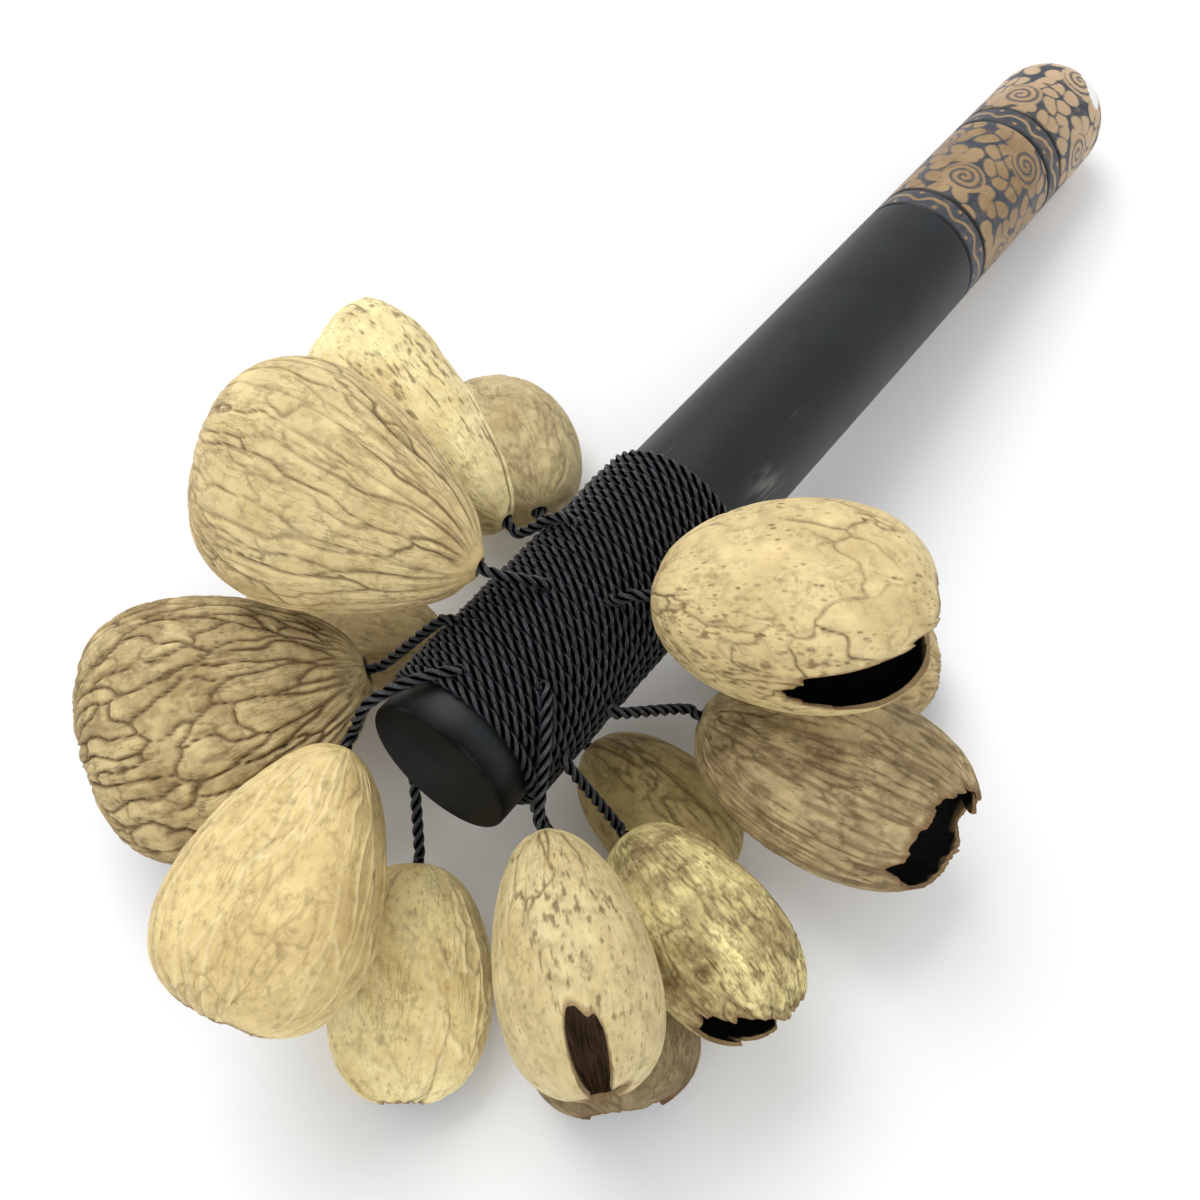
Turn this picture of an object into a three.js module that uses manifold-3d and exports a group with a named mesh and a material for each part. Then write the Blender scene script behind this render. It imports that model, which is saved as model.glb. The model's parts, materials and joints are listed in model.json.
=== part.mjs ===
// Nut shell rattle: a round wooden stick, a cord wound round its front part, and fourteen dried
// nut shells, each hung from the winding on a short cord with a stopper knot inside the shell.
// Millimetres, +Z up, +Y along the stick from its front end to its tail. The rattle lies at rest:
// the tail touches the ground and the front is propped up on the shells.
import * as THREE from 'three';
import { mergeVertices } from 'three/addons/utils/BufferGeometryUtils.js';
import Module from 'manifold-3d';

// Stick
const STICK_DIAMETER = 28;
const STICK_LENGTH = 244.5;
const STICK_SLOPE = 7.85;        // degrees, front end up
const TAIL_FLAT = 9;             // diameter of the flat at the tail's tip
const FRONT_CHAMFER = 0.8;
const RING_STATIONS = [165.5, 172, 204.5, 211];
const RING_WIDTH = 1.4;
const RING_DEPTH = 0.6;
const STICK_SIDES = 32;
const DOME_STEPS = 7;

// Cord winding
const CORD_DIAMETER = 2.2;
const WIND_START = 7.6;          // station of the first turn's middle
const WIND_LENGTH = 62;
const WIND_TURNS = 23;
const WIND_STEPS = 16;           // steps in one turn
const WIND_SIDES = 6;
const CLEARANCE = 0.3;           // gap between pieces that touch

// Tethers and knots
const ROOT_DIAMETER = 2.6;       // a tether's rounded root, a little wider than its cord
const ROOT_GAP = 0.3;            // gap from the winding to a tether's rounded root
const TETHER_SIDES = 8;
const TETHER_STEPS = 5;
const KNOT_DIAMETER = 5.4;
const HOLE_DIAMETER = 3.6;       // the least width of the hole at a shell's apex

// Shells
const WALL = 1.8;
const FULLNESS = 0.8;            // power on the girth's sine: under 1 gives blunter ends
const SQUARENESS = 2.3;          // power of the section's superellipse: 2 is an ellipse
const RAGGED = 0.03;             // waviness of the mouth's edge, as a part of the half circle
const SHELL_AROUND = 16;
const SHELL_ALONG = 7;

// One row for each shell. turn and clock place the tether's root on the winding: whole turns from
// its start, and degrees round the stick from +X towards the top. reach runs from there to the
// shell's apex. bearing is the shell's heading from +X towards +Y, dip its fall below level, and
// roll its turn about its own length. The girth leans to the far end by egg. The shell is open
// past mouth, a part of the half circle from apex to end, and the opening runs back by notch over
// a spread of degrees, centred on facing, which counts degrees from the shell's top.
const SHELLS = [
  { turn: 8, clock: 105, reach: [-7, -4, 3], bearing: 190, dip: 0, roll: -45,
    length: 54, width: 44, thick: 32, egg: 0.36, mouth: 0.95, notch: 0.36, facing: 180, spread: 50 },
  { turn: 14, clock: 145, reach: [-6, -2, -5], bearing: 170, dip: 0, roll: 5,
    length: 55, width: 26, thick: 35, egg: 0.32, mouth: 0.95, notch: 0.34, facing: 180, spread: 50 },
  { turn: 19, clock: 205, reach: [-10, 2, -7], bearing: 150, dip: 20, roll: 5,
    length: 46, width: 33, thick: 24, egg: 0.1, mouth: 0.94, notch: 0.32, facing: 200, spread: 50 },
  { turn: 3, clock: 160, reach: [-8, -8, -13], bearing: 230, dip: 15, roll: -20,
    length: 56, width: 50, thick: 26, egg: 0.34, mouth: 0.95, notch: 0.36, facing: 180, spread: 50 },
  { turn: 7, clock: 220, reach: [-10, 1, -13], bearing: 205, dip: 10, roll: -5,
    length: 46, width: 28, thick: 21, egg: 0.12, mouth: 0.9, notch: 0.26, facing: 160, spread: 55 },
  { turn: 0, clock: 160, reach: [3, -16, -4], bearing: 285, dip: 10, roll: 10,
    length: 48, width: 37, thick: 32, egg: 0.32, mouth: 0.93, notch: 0.36, facing: 180, spread: 60 },
  { turn: 0, clock: 225, reach: [13, -17, -13], bearing: 305, dip: 15, roll: -10,
    length: 42, width: 30, thick: 20, egg: 0.1, mouth: 0.92, notch: 0.3, facing: 190, spread: 55 },
  { turn: 0, clock: 10, reach: [3, -6, -1], bearing: 320, dip: 5, roll: -5,
    length: 43, width: 27, thick: 31, egg: 0.2, mouth: 0.94, notch: 0.32, facing: 5, spread: 44 },
  { turn: 0, clock: 310, reach: [15, -4, -17], bearing: 320, dip: 5, roll: -15,
    length: 39, width: 33, thick: 18, egg: 0.25, mouth: 0.9, notch: 0.28, facing: 170, spread: 55 },
  { turn: 2, clock: 0, reach: [11, 1, -13], bearing: 345, dip: 5, roll: -15,
    length: 42, width: 27, thick: 23, egg: 0.1, mouth: 0.87, notch: 0.2, facing: 60, spread: 50 },
  { turn: 7, clock: 5, reach: [9, 13, -11], bearing: 15, dip: 10, roll: 5,
    length: 54, width: 36, thick: 24, egg: 0.06, mouth: 0.92, notch: 0.28, facing: 60, spread: 55 },
  { turn: 11, clock: 60, reach: [4, 3, 2], bearing: 30, dip: -5, roll: 10,
    length: 48, width: 37, thick: 33, egg: 0.12, mouth: 0.94, notch: 0.4, facing: 75, spread: 35 },
  { turn: 8, clock: 280, reach: [7, 0, -9], bearing: 355, dip: 10, roll: 0,
    length: 36, width: 26, thick: 20, egg: 0.1, mouth: 0.92, notch: 0.26, facing: 160, spread: 50 },
  { turn: 19, clock: 310, reach: [9, 7, -7], bearing: 30, dip: 10, roll: 0,
    length: 41, width: 30, thick: 21, egg: 0.1, mouth: 0.9, notch: 0.28, facing: 190, spread: 55 },
];

const wasm = await Module();
wasm.setup();

const degrees = THREE.MathUtils.degToRad;
const stickRadius = STICK_DIAMETER / 2;
const cordRadius = CORD_DIAMETER / 2;
const slope = degrees(STICK_SLOPE);
const domeStation = STICK_LENGTH - Math.sqrt(stickRadius ** 2 - (TAIL_FLAT / 2) ** 2);
const frontHeight = stickRadius + domeStation * Math.sin(slope);
// The winding's straight steps cut inside its circle, so the circle is that much wider.
const windRadius = (stickRadius + CLEARANCE + cordRadius) / Math.cos(Math.PI / WIND_STEPS);
const rootRadius = windRadius + cordRadius + ROOT_DIAMETER / 2 + ROOT_GAP;

// The stick's own axes: across it, along it to the tail, and upward square to both.
const across = new THREE.Vector3(1, 0, 0);
const along = new THREE.Vector3(0, Math.cos(slope), -Math.sin(slope));
const upward = new THREE.Vector3().crossVectors(across, along);

// A point at a station along the stick, a radius from its axis and a clock angle round it.
function onStick(station, radius, clock) {
  return new THREE.Vector3(0, 0, frontHeight)
    .addScaledVector(along, station)
    .addScaledVector(across, radius * Math.cos(clock))
    .addScaledVector(upward, radius * Math.sin(clock));
}

// A closed geometry as a solid for booleans, and back.
function toSolid(geometry) {
  const bare = new THREE.BufferGeometry();
  bare.setAttribute('position', geometry.getAttribute('position'));
  if (geometry.index) bare.setIndex(geometry.index);
  const merged = mergeVertices(bare, 1e-4);
  return new wasm.Manifold(new wasm.Mesh({
    numProp: 3,
    vertProperties: Float32Array.from(merged.getAttribute('position').array),
    triVerts: Uint32Array.from(merged.index.array),
  }));
}

function fromSolid(solid) {
  const mesh = solid.getMesh();
  const geometry = new THREE.BufferGeometry();
  geometry.setAttribute('position', new THREE.BufferAttribute(mesh.vertProperties, 3));
  geometry.setIndex(new THREE.BufferAttribute(mesh.triVerts, 1));
  return geometry;
}

// The stick is one turned piece: flat front, four incised rings, a domed tail with a small flat.
function stickGeometry() {
  const profile = [
    new THREE.Vector2(0, 0),
    new THREE.Vector2(stickRadius - FRONT_CHAMFER, 0),
    new THREE.Vector2(stickRadius, FRONT_CHAMFER),
  ];
  for (const station of RING_STATIONS) {
    profile.push(new THREE.Vector2(stickRadius, station - RING_WIDTH / 2));
    profile.push(new THREE.Vector2(stickRadius - RING_DEPTH, station));
    profile.push(new THREE.Vector2(stickRadius, station + RING_WIDTH / 2));
  }
  const domeEnd = Math.acos(TAIL_FLAT / 2 / stickRadius);
  for (let i = 0; i <= DOME_STEPS; i += 1) {
    const angle = (domeEnd * i) / DOME_STEPS;
    profile.push(new THREE.Vector2(
      stickRadius * Math.cos(angle),
      domeStation + stickRadius * Math.sin(angle),
    ));
  }
  profile.push(new THREE.Vector2(0, STICK_LENGTH));
  const geometry = new THREE.LatheGeometry(profile, STICK_SIDES);
  const turn = new THREE.Matrix4().makeBasis(across, along, upward);
  turn.setPosition(0, 0, frontHeight);
  return geometry.applyMatrix4(turn);
}

// The winding's middle line: a close helix whose two ends run on straight.
class WindingCurve extends THREE.Curve {
  constructor() {
    super();
    const turnLength = Math.hypot(2 * Math.PI * windRadius, WIND_LENGTH / WIND_TURNS);
    this.coil = WIND_TURNS * turnLength;
    this.length = this.coil + 2 * CORD_DIAMETER;
    this.arcLengthDivisions = 4 * WIND_STEPS * WIND_TURNS;
  }

  getPoint(t, target = new THREE.Vector3()) {
    const run = t * this.length - CORD_DIAMETER;
    const held = THREE.MathUtils.clamp(run, 0, this.coil);
    const angle = (held / this.coil) * WIND_TURNS * 2 * Math.PI;
    const station = WIND_START + (held / this.coil) * WIND_LENGTH;
    const side = new THREE.Vector3()
      .addScaledVector(across, -Math.sin(angle))
      .addScaledVector(upward, Math.cos(angle));
    return target.copy(onStick(station, windRadius, angle)).addScaledVector(side, run - held);
  }
}

// A closed tube with a regular section along a curve.
function tubeGeometry(curve, radius, sides, steps) {
  const corners = Array.from({ length: sides }, (_, i) => {
    const angle = (2 * Math.PI * i) / sides;
    return new THREE.Vector2(radius * Math.cos(angle), radius * Math.sin(angle));
  });
  const section = new THREE.Shape(corners);
  return new THREE.ExtrudeGeometry(section, { extrudePath: curve, steps, bevelEnabled: false });
}

// The least gap between neighbouring turns of the winding, measured on points of its middle line.
function windingGap(curve) {
  const perTurn = 48;
  const points = curve.getPoints(perTurn * WIND_TURNS);
  let least = Infinity;
  for (let i = 0; i < points.length; i += 1) {
    for (let j = i + perTurn / 2; j < Math.min(points.length, i + 2 * perTurn); j += 1) {
      least = Math.min(least, points[i].distanceTo(points[j]));
    }
  }
  return least - CORD_DIAMETER;
}

// A shell's girth, from 0 at its apex (s = 0) over 1 to 0 at its far end (s = pi).
function girthOf(egg) {
  const raw = (s) => Math.max(Math.sin(s), 0) ** FULLNESS * (1 - egg * Math.cos(s));
  let most = 0;
  for (let i = 1; i < 200; i += 1) most = Math.max(most, raw((Math.PI * i) / 200));
  return (s) => raw(s) / most;
}

// Where along the near half the girth reaches a value.
function whereGirthIs(girth, value) {
  let low = 0;
  let high = Math.PI / 2;
  for (let i = 0; i < 40; i += 1) {
    const middle = (low + high) / 2;
    if (girth(middle) < value) low = middle;
    else high = middle;
  }
  return low;
}

// The place and axes of one shell: its apex, its own length, width and thickness directions.
function placeOf(spec) {
  const station = WIND_START + (WIND_LENGTH / WIND_TURNS) * (spec.turn + spec.clock / 360);
  const root = onStick(station, rootRadius, degrees(spec.clock));
  const apex = root.clone().add(new THREE.Vector3(...spec.reach));
  const bearing = degrees(spec.bearing);
  const dip = degrees(spec.dip);
  const roll = degrees(spec.roll);
  const ahead = new THREE.Vector3(
    Math.cos(bearing) * Math.cos(dip),
    Math.sin(bearing) * Math.cos(dip),
    -Math.sin(dip),
  );
  const level = new THREE.Vector3(-Math.sin(bearing), Math.cos(bearing), 0);
  const top = new THREE.Vector3().crossVectors(ahead, level);
  const wide = level.clone().multiplyScalar(Math.cos(roll)).addScaledVector(top, Math.sin(roll));
  const deep = top.clone().multiplyScalar(Math.cos(roll)).addScaledVector(level, -Math.sin(roll));
  return { root, apex, ahead, wide, deep };
}

// A hollow shell: an outer and an inner egg-shaped surface, joined round the mouth at the far end
// and round the cord hole at the apex, so that the wall is one closed ring of rows.
function shellGeometry(spec, place, index) {
  const girth = girthOf(spec.egg);
  const mouthAt = (v) => {
    const centre = Math.PI / 2 - degrees(spec.roll) + degrees(spec.facing);
    const off = Math.atan2(Math.sin(v - centre), Math.cos(v - centre));
    const back = spec.notch * Math.exp(-((off / degrees(spec.spread)) ** 4));
    const wave = (Math.sin(3 * v + 2 * index) + Math.sin(5 * v + index)) * 0.5 * RAGGED;
    return Math.PI * (spec.mouth - back + wave);
  };
  const surface = (inset) => {
    const narrow = Math.min(spec.width, spec.thick) / 2 - inset;
    const holeAt = whereGirthIs(girth, HOLE_DIAMETER / 2 / narrow);
    return (part, v) => {
      const s = holeAt + (mouthAt(v) - holeAt) * part;
      const round = (Math.abs(Math.cos(v)) ** SQUARENESS + Math.abs(Math.sin(v)) ** SQUARENESS)
        ** (-1 / SQUARENESS);
      const reach = inset + (spec.length - 2 * inset) * (1 - Math.cos(s)) / 2;
      return place.apex.clone()
        .addScaledVector(place.ahead, reach)
        .addScaledVector(place.wide, (spec.width / 2 - inset) * girth(s) * round * Math.cos(v))
        .addScaledVector(place.deep, (spec.thick / 2 - inset) * girth(s) * round * Math.sin(v));
    };
  };
  const outer = surface(0);
  const inner = surface(WALL);
  const rows = [];
  for (let i = 0; i <= SHELL_ALONG; i += 1) rows.push([outer, i / SHELL_ALONG]);
  for (let i = SHELL_ALONG; i >= 0; i -= 1) rows.push([inner, i / SHELL_ALONG]);
  const positions = [];
  const faces = [];
  rows.forEach(([skin, part], row) => {
    for (let column = 0; column < SHELL_AROUND; column += 1) {
      positions.push(...skin(part, (2 * Math.PI * column) / SHELL_AROUND).toArray());
      const next = (column + 1) % SHELL_AROUND;
      const here = row * SHELL_AROUND;
      const there = ((row + 1) % rows.length) * SHELL_AROUND;
      faces.push(here + column, there + next, there + column);
      faces.push(here + column, here + next, there + next);
    }
  });
  const geometry = new THREE.BufferGeometry();
  geometry.setAttribute('position', new THREE.Float32BufferAttribute(positions, 3));
  geometry.setIndex(faces);
  return geometry;
}

// Where the stopper knot sits: just inside the apex, clear of the wall round the hole.
function knotDepth() {
  return WALL + CLEARANCE + KNOT_DIAMETER / 2 + 0.6;
}

// A tether: from its root on the winding, straight through the apex hole to the knot. Its root is
// rounded about the point that the shell swings about, so it keeps its gap as the shell swings.
function tetherGeometry(place) {
  const end = knotDepth() - KNOT_DIAMETER / 2 - CLEARANCE;
  const curve = new THREE.CatmullRomCurve3([
    place.root,
    place.apex.clone().addScaledVector(place.ahead, -1.5 * CORD_DIAMETER),
    place.apex.clone(),
    place.apex.clone().addScaledVector(place.ahead, end),
  ], false, 'centripetal');
  const tube = tubeGeometry(curve, cordRadius, TETHER_SIDES, TETHER_STEPS);
  const round = new THREE.SphereGeometry(ROOT_DIAMETER / 2, TETHER_SIDES, 6);
  round.translate(...place.root.toArray());
  return fromSolid(toSolid(tube).add(toSolid(round)));
}

function knotGeometry(place) {
  const centre = place.apex.clone().addScaledVector(place.ahead, knotDepth());
  const geometry = new THREE.SphereGeometry(KNOT_DIAMETER / 2, 8, 6);
  geometry.rotateX(Math.PI / 2);
  const turn = new THREE.Matrix4().makeBasis(place.wide, place.deep, place.ahead);
  turn.setPosition(centre);
  return geometry.applyMatrix4(turn);
}

const rattle = new THREE.Group();
rattle.name = 'nut_shell_rattle';

function addPiece(name, geometry, color, roughness) {
  const material = new THREE.MeshStandardMaterial({ color, roughness });
  const mesh = new THREE.Mesh(geometry, material);
  mesh.name = name;
  rattle.add(mesh);
  return mesh;
}

addPiece('handle_stick', stickGeometry(), 0x1b1b1c, 0.5);
const winding = new WindingCurve();
const windSteps = WIND_STEPS * WIND_TURNS + 2;
addPiece('cord_winding', tubeGeometry(winding, cordRadius, WIND_SIDES, windSteps), 0x121214, 0.8);
console.log(`least gap between turns of the winding: ${windingGap(winding).toFixed(2)} mm`);

SHELLS.forEach((spec, index) => {
  const place = placeOf(spec);
  const number = String(index + 1).padStart(2, '0');
  const shell = addPiece(`shell_${number}`, shellGeometry(spec, place, index), 0xb89b68, 0.75);
  shell.userData.swing_centre = place.root;
  addPiece(`tether_${number}`, tetherGeometry(place), 0x121214, 0.8);
  addPiece(`knot_${number}`, knotGeometry(place), 0x121214, 0.8);
});

// The frame's origin is under the middle of the whole rattle, at its lowest point.
const box = new THREE.Box3();
for (const mesh of rattle.children) box.expandByObject(mesh);
const centre = box.getCenter(new THREE.Vector3());
for (const mesh of rattle.children) mesh.geometry.translate(-centre.x, -centre.y, -box.min.z);
for (const mesh of rattle.children) {
  if (mesh.userData.swing_centre) {
    mesh.userData.swing_centre.sub(new THREE.Vector3(centre.x, centre.y, box.min.z));
  }
}

export default rattle;
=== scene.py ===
# %% [markdown]
# A hand rattle of nut shells. Fourteen dried shells hang on short cords from a winding at the front
# of a round stick. The CAD frame says where every piece is and how it swings. This script dresses it:
# each piece is a surface worked out with numpy, laid over its CAD node, with a finish made of nodes.
# The frame comes first, because every place below is taken from it.

# %% Load the frame
import itertools
import json
import math
from types import SimpleNamespace

import bpy
import numpy as np
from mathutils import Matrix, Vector


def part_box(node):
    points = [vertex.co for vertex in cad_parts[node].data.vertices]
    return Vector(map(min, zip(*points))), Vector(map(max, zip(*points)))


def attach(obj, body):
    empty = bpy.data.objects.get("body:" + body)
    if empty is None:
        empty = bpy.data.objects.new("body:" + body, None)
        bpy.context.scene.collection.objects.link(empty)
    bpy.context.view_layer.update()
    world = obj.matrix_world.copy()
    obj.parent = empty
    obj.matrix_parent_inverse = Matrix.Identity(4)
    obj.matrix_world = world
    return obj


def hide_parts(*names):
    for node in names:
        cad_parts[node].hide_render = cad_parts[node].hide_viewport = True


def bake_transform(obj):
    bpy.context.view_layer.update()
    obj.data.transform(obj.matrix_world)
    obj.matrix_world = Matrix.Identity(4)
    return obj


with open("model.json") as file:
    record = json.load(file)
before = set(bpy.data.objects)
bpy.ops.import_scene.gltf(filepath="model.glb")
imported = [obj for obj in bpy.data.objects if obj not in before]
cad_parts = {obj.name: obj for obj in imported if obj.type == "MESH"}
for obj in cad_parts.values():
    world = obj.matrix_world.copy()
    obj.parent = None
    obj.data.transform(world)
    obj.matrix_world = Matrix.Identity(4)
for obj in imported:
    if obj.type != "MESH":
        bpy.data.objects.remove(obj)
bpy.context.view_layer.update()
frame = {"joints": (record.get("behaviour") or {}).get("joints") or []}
MM = 0.001
scene = bpy.context.scene

# %% [markdown]
# The camera looks steeply down on the shells, with the stick running away to the upper right. Its
# place and lens decide every proportion in the picture, so it is set before any piece is shaped. A short
# lens held close makes the shells large and the tail small, which a long lens far away would not do.

# %% Camera
CAMERA_PLACE = (0.0716, -0.1462, 0.2660)
CAMERA_TILT = 28
CAMERA_TURN = 36.85
LENS = 42
SENSOR_WIDTH = 36
NEAREST = 0.01

camera = bpy.data.objects.new("camera", bpy.data.cameras.new("camera"))
camera.data.lens = LENS
camera.data.sensor_width = SENSOR_WIDTH
camera.data.clip_start = NEAREST
camera.location = CAMERA_PLACE
camera.rotation_euler = (math.radians(CAMERA_TILT), 0, math.radians(CAMERA_TURN))
scene.collection.objects.link(camera)
scene.camera = camera
scene.view_settings.view_transform = "Standard"
print("camera", CAMERA_PLACE, "lens", LENS)

# %% [markdown]
# Everything hangs on the stick, so places are counted along it: a station from its front face, a
# radius from its middle line, and a clock angle round it. The stick lies at a slope, its tail on the
# ground. Its front point is read back from the CAD box, so the numbers follow the frame.

# %% The stick's own axes
STICK_DIAMETER = 28
STICK_LENGTH = 244.5
STICK_SLOPE = 7.85
FRONT_CHAMFER = 0.8
TAIL_FLAT = 9

stick_radius = STICK_DIAMETER / 2
slope = math.radians(STICK_SLOPE)
across = np.array([1.0, 0.0, 0.0])
along = np.array([0.0, math.cos(slope), -math.sin(slope)])
upward = np.cross(across, along)
stick_low, stick_high = (np.array(corner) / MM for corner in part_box("handle_stick"))
front_middle = np.array([
    (stick_low[0] + stick_high[0]) / 2,
    stick_low[1] + (stick_radius - FRONT_CHAMFER) * math.sin(slope),
    stick_high[2] - stick_radius * math.cos(slope) + FRONT_CHAMFER * math.sin(slope),
])


def on_stick(station, radius, clock):
    """The front's middle, plus station along the stick, plus radius turned by the clock angle in degrees."""
    angle = np.radians(np.asarray(clock, float))[..., None]
    spoke = np.cos(angle) * across + np.sin(angle) * upward
    station = np.asarray(station, float)[..., None]
    return front_middle + station * along + np.asarray(radius, float)[..., None] * spoke


print("front of the stick at", np.round(front_middle, 2))

# %% [markdown]
# A shell, a cord and a turned stick are all one idea in the computer: a grid of points whose columns
# close round. They could be a sphere, a curve and a lathe from Blender's menus, but then each would be
# bent into shape in its own way. First the faces: they join neighbours, and the two ends are closed,
# either by joining the last row to the first or with a pole.

# %% Faces on a grid


def grid_faces(rows, columns, ring):
    """Faces between four neighbours; columns wrap, and rows wrap too where ring is set.

    Otherwise a fan of triangles closes each end. Its pole is one of two points that follow the grid's own.
    """
    index = np.arange(rows * columns).reshape(rows, columns)
    here = index if ring else index[:-1]
    there = np.roll(index, -1, 0) if ring else index[1:]
    quads = np.stack([here, np.roll(here, -1, 1), np.roll(there, -1, 1), there], -1).reshape(-1, 4)
    if ring:
        return quads, np.zeros((0, 3), int)
    first, last, pole = index[0], index[-1], np.full(columns, rows * columns)
    ends = [[np.roll(first, -1), first, pole], [last, np.roll(last, -1), pole + 1]]
    return quads, np.vstack([np.stack(end, -1) for end in ends])


def with_poles(grid, ring):
    """One line for each point of the grid, then, unless it is a ring, the means of its first and last row."""
    listed = grid.reshape(grid.shape[0] * grid.shape[1], -1)
    return listed if ring else np.vstack([listed, grid[0].mean(0), grid[-1].mean(0)])


print("a grid of 4 by 5 has", [len(faces) for faces in grid_faces(4, 5, False)], "quads and triangles")

# %% [markdown]
# One helper then turns any such grid into a piece. Whole arrays go into the mesh at once, which is far
# quicker than adding points one by one. Faces have to look outwards, or light and export go wrong, and
# the sign of the enclosed volume tells whether they do. Marks go along: numbers that the finish reads.

# %% From a grid of points to a piece


def grid_piece(name, points, ring=False, **marks):
    """Rows and columns of points in mm become a closed mesh in metres; marks are numbers for each point.

    The triple product of a triangle's corners, summed over all of them, is six times the volume inside.
    Where it is negative, the faces look inwards and are turned round.
    """
    quads, fans = grid_faces(*points.shape[:2], ring)
    spots = with_poles(points, ring)
    triangles = np.vstack([quads[:, [0, 1, 2]], quads[:, [0, 2, 3]], fans])
    first, second, third = (spots[triangles[:, k]] for k in range(3))
    if np.einsum("ij,ij->", first, np.cross(second, third)) < 0:
        quads, fans = quads[:, ::-1], fans[:, ::-1]
    mesh = bpy.data.meshes.new(name)
    mesh.vertices.add(len(spots))
    mesh.vertices.foreach_set("co", (spots * MM).astype(np.float32).ravel())
    loops = np.concatenate([quads.ravel(), fans.ravel()])
    mesh.loops.add(len(loops))
    mesh.loops.foreach_set("vertex_index", loops.astype(np.int32))
    starts = np.concatenate([np.arange(len(quads)) * 4, 4 * len(quads) + np.arange(len(fans)) * 3])
    mesh.polygons.add(len(starts))
    mesh.polygons.foreach_set("loop_start", starts.astype(np.int32))
    mesh.polygons.foreach_set("use_smooth", np.ones(len(starts), bool))
    mesh.update(calc_edges=True)
    for label, grid in marks.items():
        numbers = with_poles(np.asarray(grid, float), ring)
        kind, socket = ("FLOAT", "value") if numbers.shape[1] == 1 else ("FLOAT_VECTOR", "vector")
        layer = mesh.attributes.new(label, kind, "POINT")
        layer.data.foreach_set(socket, numbers.astype(np.float32).ravel())
    piece = bpy.data.objects.new(name, mesh)
    scene.collection.objects.link(piece)
    return piece


print("pieces are in metres,", MM, "for each mm")

# %% [markdown]
# Natural surfaces need irregularity that is the same on every run. Random numbers are worked out from
# whole-number cells by a hash, so nothing is stored. Smooth noise joins them softly and gives lumps and
# wear. Borders between the nearest two of scattered seeds give nets of cracks and veins.

# %% Noise from numbers


def cell_number(cells, seed):
    """A number from 0 to 1 for each whole-number cell: its coordinates times odd numbers, mixed by shifts."""
    x, y, z = (cells[..., k].astype(np.int64).astype(np.uint64) for k in range(3))
    code = x * np.uint64(73856093) ^ y * np.uint64(19349663) ^ z * np.uint64(83492791)
    code ^= np.uint64(seed * 2654435761 + 1013904223)
    code = (code ^ (code >> np.uint64(15))) * np.uint64(2246822519)
    code = (code ^ (code >> np.uint64(13))) * np.uint64(3266489917)
    return ((code ^ (code >> np.uint64(16))) & np.uint64(0xFFFFFF)).astype(float) / 0xFFFFFF


def smooth_noise(points, seed):
    """From -1 to 1: random values at the eight corners of a cell, joined by smooth weights."""
    base = np.floor(points)
    part = points - base
    part = (part * part * (3 - 2 * part))[..., None, :]
    corners = np.array(list(itertools.product((0, 1), repeat=3)))
    weights = np.where(corners == 1, part, 1 - part).prod(-1)
    return 2 * (cell_number(base[..., None, :] + corners, seed) * weights).sum(-1) - 1


def rough_noise(points, seed, octaves=3):
    """Smooth noise, plus half as much at twice the fineness, and so on."""
    return sum(smooth_noise(points * 2 ** k, seed + k) / 2 ** k for k in range(octaves))


def seed_borders(points, seed):
    """How much further the second nearest seed is than the nearest: 0 on a border between two cells.

    The seeds are scattered one to a cell, so only a point's own cell and its neighbours are looked at.
    """
    around = np.array(list(itertools.product((-1, 0, 1), repeat=3)))
    cells = np.floor(points)[..., None, :] + around
    seeds = cells + np.stack([cell_number(cells, seed + k) for k in range(3)], -1)
    nearest = np.partition(np.linalg.norm(seeds - points[..., None, :], axis=-1), 1, axis=-1)
    return nearest[..., 1] - nearest[..., 0]


def soft_step(value, low, high):
    """0 below low, 1 above high, smooth between."""
    share = np.clip((value - low) / (high - low), 0, 1)
    return share * share * (3 - 2 * share)


probe = smooth_noise(np.linspace(0, 60, 3000).reshape(1000, 3), 3)
print("noise runs from", round(probe.min(), 2), "to", round(probe.max(), 2))

# %% [markdown]
# Finishes are node trees on the Principled shader. They could be wired by hand in the editor; a few small
# helpers say the same in one line for each node. Colours are written as the eye sees them, from 0 to 255,
# and turned into the linear numbers that light works with.

# %% Colours and nodes


def colour(red, green, blue):
    """Screen values from 0 to 255 as linear light, by the usual screen curve."""
    parts = np.array([red, green, blue]) / 255
    linear = np.where(parts <= 0.04045, parts / 12.92, ((parts + 0.055) / 1.055) ** 2.4)
    return (*linear.tolist(), 1.0)


def put(tree, socket, value):
    """A link into the socket where the value is a node's output, otherwise a constant on it."""
    if isinstance(value, bpy.types.NodeSocket):
        tree.links.new(value, socket)
    else:
        socket.default_value = value


def feed(tree, node, **sockets):
    """Links or constants for a node's inputs, which are called by name."""
    for key, value in sockets.items():
        put(tree, node.inputs[key.replace("_", " ")], value)


def add_node(tree, kind, settings=None, **sockets):
    """A node of that kind; settings go on the node, sockets are values or links for its inputs."""
    node = tree.nodes.new("ShaderNode" + kind)
    for key, value in (settings or {}).items():
        setattr(node, key, value)
    feed(tree, node, **sockets)
    return node


print("middle grey on the screen is", round(colour(128, 128, 128)[0], 3), "in light")

# %% [markdown]
# A finish starts as one material with its constants set. Most finishes here are then built as paint is:
# a base colour, and coats over it that each cover a part of it. A Mix node lays one coat on.

# %% Starting and coating a finish
MIX_FACTOR, MIX_FIRST, MIX_SECOND, MIX_RESULT = 0, 6, 7, 2


def start_finish(name, **sockets):
    """A material and its tree, with constant values set on the shader's own sockets."""
    material = bpy.data.materials.new(name)
    material.use_nodes = True
    tree = material.node_tree
    shader = tree.nodes["Principled BSDF"]
    feed(tree, shader, **sockets)
    return material, tree, shader


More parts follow.
